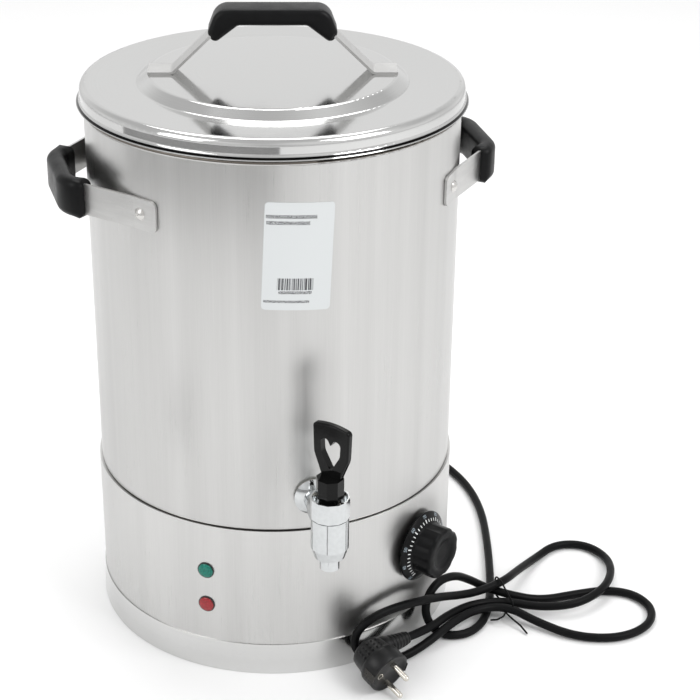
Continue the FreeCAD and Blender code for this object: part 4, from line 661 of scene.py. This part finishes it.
def pillowed(name, outline, half, edge, place, material, steps=6):
    """A slab of an outline whose two faces are rounded over at their edges."""
    count = len(outline)
    area = sum(a.x * b.y - b.x * a.y for a, b in zip(outline, outline[1:] + outline[:1]))
    outward = math.copysign(1, area)
    normals = []
    for i in range(count):
        along = (outline[(i + 1) % count] - outline[i - 1]).normalized()
        normals.append(Vector((along.y, -along.x)) * outward)
    layers = [(half - edge + edge * math.sin(a), edge * (1 - math.cos(a)))
              for a in (math.pi / 2 * k / steps for k in range(steps + 1))]
    layers = [(-depth, inset) for depth, inset in reversed(layers)] + layers
    rows = [place @ Vector((*(point - normal * inset), depth))
            for depth, inset in layers for point, normal in zip(outline, normals)]
    last = (len(layers) - 1) * count
    lids = [tuple(range(count))[::-1], tuple(range(last, last + count))]
    return add_mesh(name, rows, ring_faces(len(layers), count) + lids, material)


def turned(profile, place, segments, cut_at=None):
    """Corners and faces of a profile of radius and depth, turned about the place's Z.

    A third number in the profile is the share of cut_at(angle) that the radius loses there.
    """
    rows = []
    for radius, depth, *share in profile:
        for i in range(segments):
            angle = math.tau * i / segments
            cut = cut_at(angle) * share[0] if share else 0
            rows.append(place @ Vector(((radius - cut) * math.cos(angle),
                                        (radius - cut) * math.sin(angle), depth)))
    return rows, ring_faces(len(profile), segments)


def merged(*parts):
    """Several lots of corners and faces as one."""
    rows, faces = [], []
    for more_rows, more_faces in parts:
        shift = len(rows)
        rows += more_rows
        faces += [tuple(i + shift for i in face) for face in more_faces]
    return rows, faces


def facing(out):
    """A turn whose Z looks out sideways and whose Y stands up."""
    return Matrix((UP.cross(out), UP, out)).transposed().to_4x4()


# ---------------------------------------------------------------- grips

def make_side_grip(side, material):
    """A moulded grip over the middle of a side handle."""
    corner = Vector((HANDLE_REACH, -HANDLE_CORNER))
    end = corner + HANDLE_DIRECTION.normalized() * GRIP_ARM
    line = [end, corner, Vector((corner.x, -corner.y)), Vector((end.x, -end.y))]
    outline = rounded_outline(*strip_outline(line, [0, HANDLE_BEND, HANDLE_BEND, 0],
                                             GRIP_DEPTH / 2))
    low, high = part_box("grip_" + side)
    place = Matrix.Translation((0, 0, (low.z + high.z) / 2))
    place = place @ Matrix.Rotation(HANDLE_TURNS[side], 4, "Z")
    grip = pillowed(side + "_grip_moulding", outline, (high.z - low.z) / 2, GRIP_EDGE, place,
                    material)
    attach(grip, "boiler")
    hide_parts("grip_" + side)


def make_lid_grip(material):
    """The lid's grip: flat on top, its ends drawn down along the strap's legs."""
    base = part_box("lid_handle_strap")[0].z
    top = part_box("lid_grip")[1].z - base
    half = [(LID_GRIP_SHOULDER, top, LID_GRIP_BEND), *LID_GRIP_TIP, LID_GRIP_ARCH]
    corners = half + [(-x, z, radius) for x, z, radius in reversed(half)]
    outline = rounded_outline([(x, z) for x, z, _ in corners], [r for _, _, r in corners])
    place = (Matrix.Translation((0, 0, base)) @ Matrix.Rotation(LID_TURN, 4, "Z")
             @ Matrix.Rotation(math.pi / 2, 4, "X"))
    grip = pillowed("lid_grip_moulding", outline, LID_GRIP_HALF, LID_GRIP_EDGE, place, material)
    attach(grip, "lid")
    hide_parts("lid_grip")


# ---------------------------------------------------------------- dial

def dial_place():
    """The dial's axis as Z, with the dial's top as Y."""
    joint = JOINTS["dial_turn"]
    out = Vector(joint["axis"]).normalized()
    return Matrix.Translation(Vector(joint["pos_m"])) @ facing(out)


def flute(angle):
    """How far a flute of the dial's grip cuts in at an angle."""
    pitch = math.tau / DIAL_FLUTES
    offset = (angle + pitch / 2) % pitch - pitch / 2
    return DIAL_FLUTE_DEPTH * max(0.0, 1 - (offset / DIAL_FLUTE_HALF) ** 2)


def slope_level(reach):
    """How far out the skirt's cone is at a radius."""
    share = (DIAL_SKIRT - reach) / (DIAL_SKIRT - DIAL_SKIRT_TOP)
    return DIAL_RIM + (DIAL_STEP - DIAL_RIM) * share


def dial_profile():
    """Radius, distance out and share of the flutes' depth, from the back to the front."""
    step, front, back = DIAL_STEP, DIAL_FRONT, DIAL_BACK
    return [
        (DIAL_BORE, back), (DIAL_SKIRT - 0.0006, back), (DIAL_SKIRT, back + 0.0005),
        (DIAL_SKIRT, DIAL_RIM - 0.0004), (DIAL_SKIRT - 0.0005, slope_level(DIAL_SKIRT - 0.0005)),
        (DIAL_SKIRT_TOP, step), (DIAL_GRIP + 0.0004, step + 0.0003, 0.3),
        (DIAL_GRIP, step + 0.002, 1), (DIAL_TIP, front - 0.0035, 1),
        (DIAL_TIP - 0.0003, front - 0.0014, 1), (DIAL_TIP - 0.0011, front - 0.0004, 0.8),
        (DIAL_TIP - 0.0024, front, 0.5), (DIAL_DISH + 0.0012, front, 0),
        (DIAL_DISH, front - 0.0008), (DIAL_DISH - 0.001, front - 0.0017),
        (DIAL_HOLLOW, front - DIAL_SINK), (TIP, front - DIAL_SINK),
    ]


def make_dial(materials):
    """The dial with a conical skirt, a fluted grip and a dished face."""
    rows, faces = turned(dial_profile(), dial_place(), DIAL_SEGMENTS, flute)
    knob = add_mesh("dial_moulding", rows, faces, materials["dial"])
    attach(knob, "dial")
    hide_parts("dial_knob")
    make_dial_marks(materials["ticks"], materials["figures"])


def scale_angle(share):
    """The angle of a share of the dial's graduation, counted from the dial's X."""
    return math.pi / 2 + SCALE_START + (SCALE_END - SCALE_START) * share


def make_dial_marks(tick_paint, figure_paint):
    """Graduation ticks and plain numerals round the skirt."""
    rows, faces = [], []
    for i in range(TICKS):
        is_long = i % LONG_TICK_EVERY == 0
        outer = LONG_TICK_OUTER if is_long else TICK_OUTER
        half = LONG_TICK_HALF if is_long else TICK_HALF
        angle = scale_angle(i / (TICKS - 1))
        along = Vector((math.cos(angle), math.sin(angle), 0))
        side = Vector((-along.y, along.x, 0)) * half
        start = len(rows)
        for reach, sign in ((TICK_INNER, -1), (outer, -1), (outer, 1), (TICK_INNER, 1)):
            spot = along * reach + side * sign
            rows.append(dial_place() @ Vector((spot.x, spot.y, slope_level(reach) + TICK_RAISE)))
        faces.append((start, start + 1, start + 2, start + 3))
    marks = add_mesh("dial_ticks", rows, faces, tick_paint, smooth=False)
    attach(marks, "dial")
    for i, figure in enumerate(FIGURES):
        angle = scale_angle(i / (len(FIGURES) - 1))
        make_figure(f"dial_figure_{figure}", str(figure), angle, figure_paint)


def make_figure(name, text, angle, material):
    """One numeral of the dial as a thin mesh that lies on the skirt's cone."""
    data = bpy.data.curves.new(name, "FONT")
    data.body = text
    data.size = FIGURE_SIZE
    data.offset = FIGURE_SWELL
    data.align_x = "CENTER"
    data.align_y = "CENTER"
    flat = add_object(name + "_text", data)
    filled = flat.evaluated_get(bpy.context.evaluated_depsgraph_get())
    mesh = bpy.data.meshes.new_from_object(filled)
    bpy.data.objects.remove(flat)
    spot = Matrix.Translation((FIGURE_REACH * math.cos(angle), FIGURE_REACH * math.sin(angle),
                               slope_level(FIGURE_REACH) + FIGURE_RAISE))
    lean = math.atan2(DIAL_STEP - DIAL_RIM, DIAL_SKIRT - DIAL_SKIRT_TOP)
    mesh.transform(dial_place() @ spot @ Matrix.Rotation(angle - math.pi / 2, 4, "Z")
                   @ Matrix.Rotation(-lean, 4, "X"))
    mesh.materials.clear()
    mesh.materials.append(material)
    figure = add_object(name, mesh)
    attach(figure, "dial")


# ---------------------------------------------------------------- spring and lamps

def make_spring(material):
    """The tap's coil spring as its own copy of the CAD mesh; on the real tap it shortens as the
    valve's stem rises.
    """
    spring = add_object("tap_spring_coil", NODES["tap_spring"].data.copy())
    spring.data.materials.clear()
    spring.data.materials.append(material)
    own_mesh(spring)
    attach(spring, "boiler")
    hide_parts("tap_spring")


def make_lens(colour, material):
    """A lamp's lens: a low dome whose flange covers the housing's mouth."""
    node = colour + "_lens"
    low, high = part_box(node)
    middle = (low + high) / 2
    out = Vector((middle.x, middle.y, 0)).normalized()
    place = Matrix.Translation(out * LAMP_FRONT + UP * middle.z) @ facing(out)
    rows, faces = turned(LENS_PROFILE, place, LENS_SEGMENTS)
    lens = add_mesh(colour + "_lens_moulding", rows, faces, material)
    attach(lens, "boiler")
    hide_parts(node)


# ---------------------------------------------------------------- lead and plug

def make_cord(material, plug):
    """The lead as one smooth NURBS curve."""
    data = bpy.data.curves.new("mains_lead", "CURVE")
    data.dimensions = "3D"
    data.bevel_depth = CORD_DIAMETER / 2
    data.bevel_resolution = 6
    data.resolution_u = 10
    data.use_fill_caps = True
    spline = data.splines.new("NURBS")
    spline.points.add(len(CORD_ROUTE) - 1)
    for point, spot in zip(spline.points, CORD_ROUTE):
        point.co = (*(value * MM for value in spot), 1)
    spline.order_u = 3
    spline.use_endpoint_u = True
    data.materials.append(material)
    cord = add_object("mains_lead", data)
    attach(cord, "boiler")
    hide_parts("power_cord")


def plug_place():
    """The plug's frame: its face's middle, placed from the lead's end."""
    tip = Vector([value * MM for value in CORD_ROUTE[-1]])
    return Matrix.Translation(tip - PLUG_TURN @ PLUG_NECK_END) @ PLUG_TURN


def neck_profile():
    """The relief round the lead: a plain root, then ribs that get smaller, then the end."""
    end = PLUG_NECK_END.x
    pitch = (end - RIB_FIRST - RIB_LAST_GAP) / RIBS
    profile = [(TIP, NECK_START), (ROOT_RADIUS, NECK_START), (ROOT_END_RADIUS, NECK_ROOT)]
    for i in range(RIBS):
        reach = RIB_FIRST + pitch * i
        crest = RIB_RADIUS - RIB_TAPER * i / RIBS
        valley = crest - RIB_DEPTH
        profile += [(crest, reach), (crest, reach + pitch * CREST_END),
                    (valley, reach + pitch * VALLEY_START), (valley, reach + pitch * VALLEY_END)]
    return profile + [(NECK_RADIUS, end - RIB_LAST_GAP), (NECK_RADIUS, end), (TIP, end)]


def plug_dots(place):
    """Rows of small grip dots over the plug's back."""
    dots = []
    for row in range(DOT_ROWS):
        for column in range(DOT_COLUMNS):
            angle = DOT_MIDDLE + DOT_COLUMN_STEP * (column - DOT_COLUMNS // 2)
            turn = Matrix.Rotation(math.radians(angle), 4, "Y")
            spot = Matrix.Translation((0, DOT_FIRST_ROW + DOT_ROW_STEP * row,
                                       DOT_REACH - DOT_REACH_LOSS * row))
            dots.append(turned(DOT_PROFILE, place @ turn @ spot, DOT_SEGMENTS))
    return dots


def make_plug(material):
    """The moulded plug: a round face, a waisted back, a ribbed relief and grip dots."""
    place = plug_place()
    behind = place @ Matrix.Rotation(-math.pi / 2, 4, "X")
    beside = place @ Matrix.Translation((0, PLUG_NECK_END.y, 0))
    beside = beside @ Matrix.Rotation(math.pi / 2, 4, "Y")
    rows, faces = merged(turned(PLUG_BODY, behind, PLUG_SEGMENTS),
                         turned(neck_profile(), beside, NECK_SEGMENTS), *plug_dots(place))
    plug = add_mesh("plug_moulding", rows, faces, material)
    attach(plug, "boiler")
    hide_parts("plug_body")
    return plug


# ---------------------------------------------------------------- the scene

make_camera()
make_surroundings()
materials = {**make_metals(), **make_mouldings(), "label": label_paper()}
coat_cad_nodes(materials)
make_cord(materials["cord"], make_plug(materials["plug"]))
make_lid_grip(materials["grip"])
for side in ("left", "right"):
    make_side_grip(side, materials["grip"])
make_spring(materials["rivet"])
for colour in ("green", "red"):
    make_lens(colour, materials[colour])
make_dial(materials)
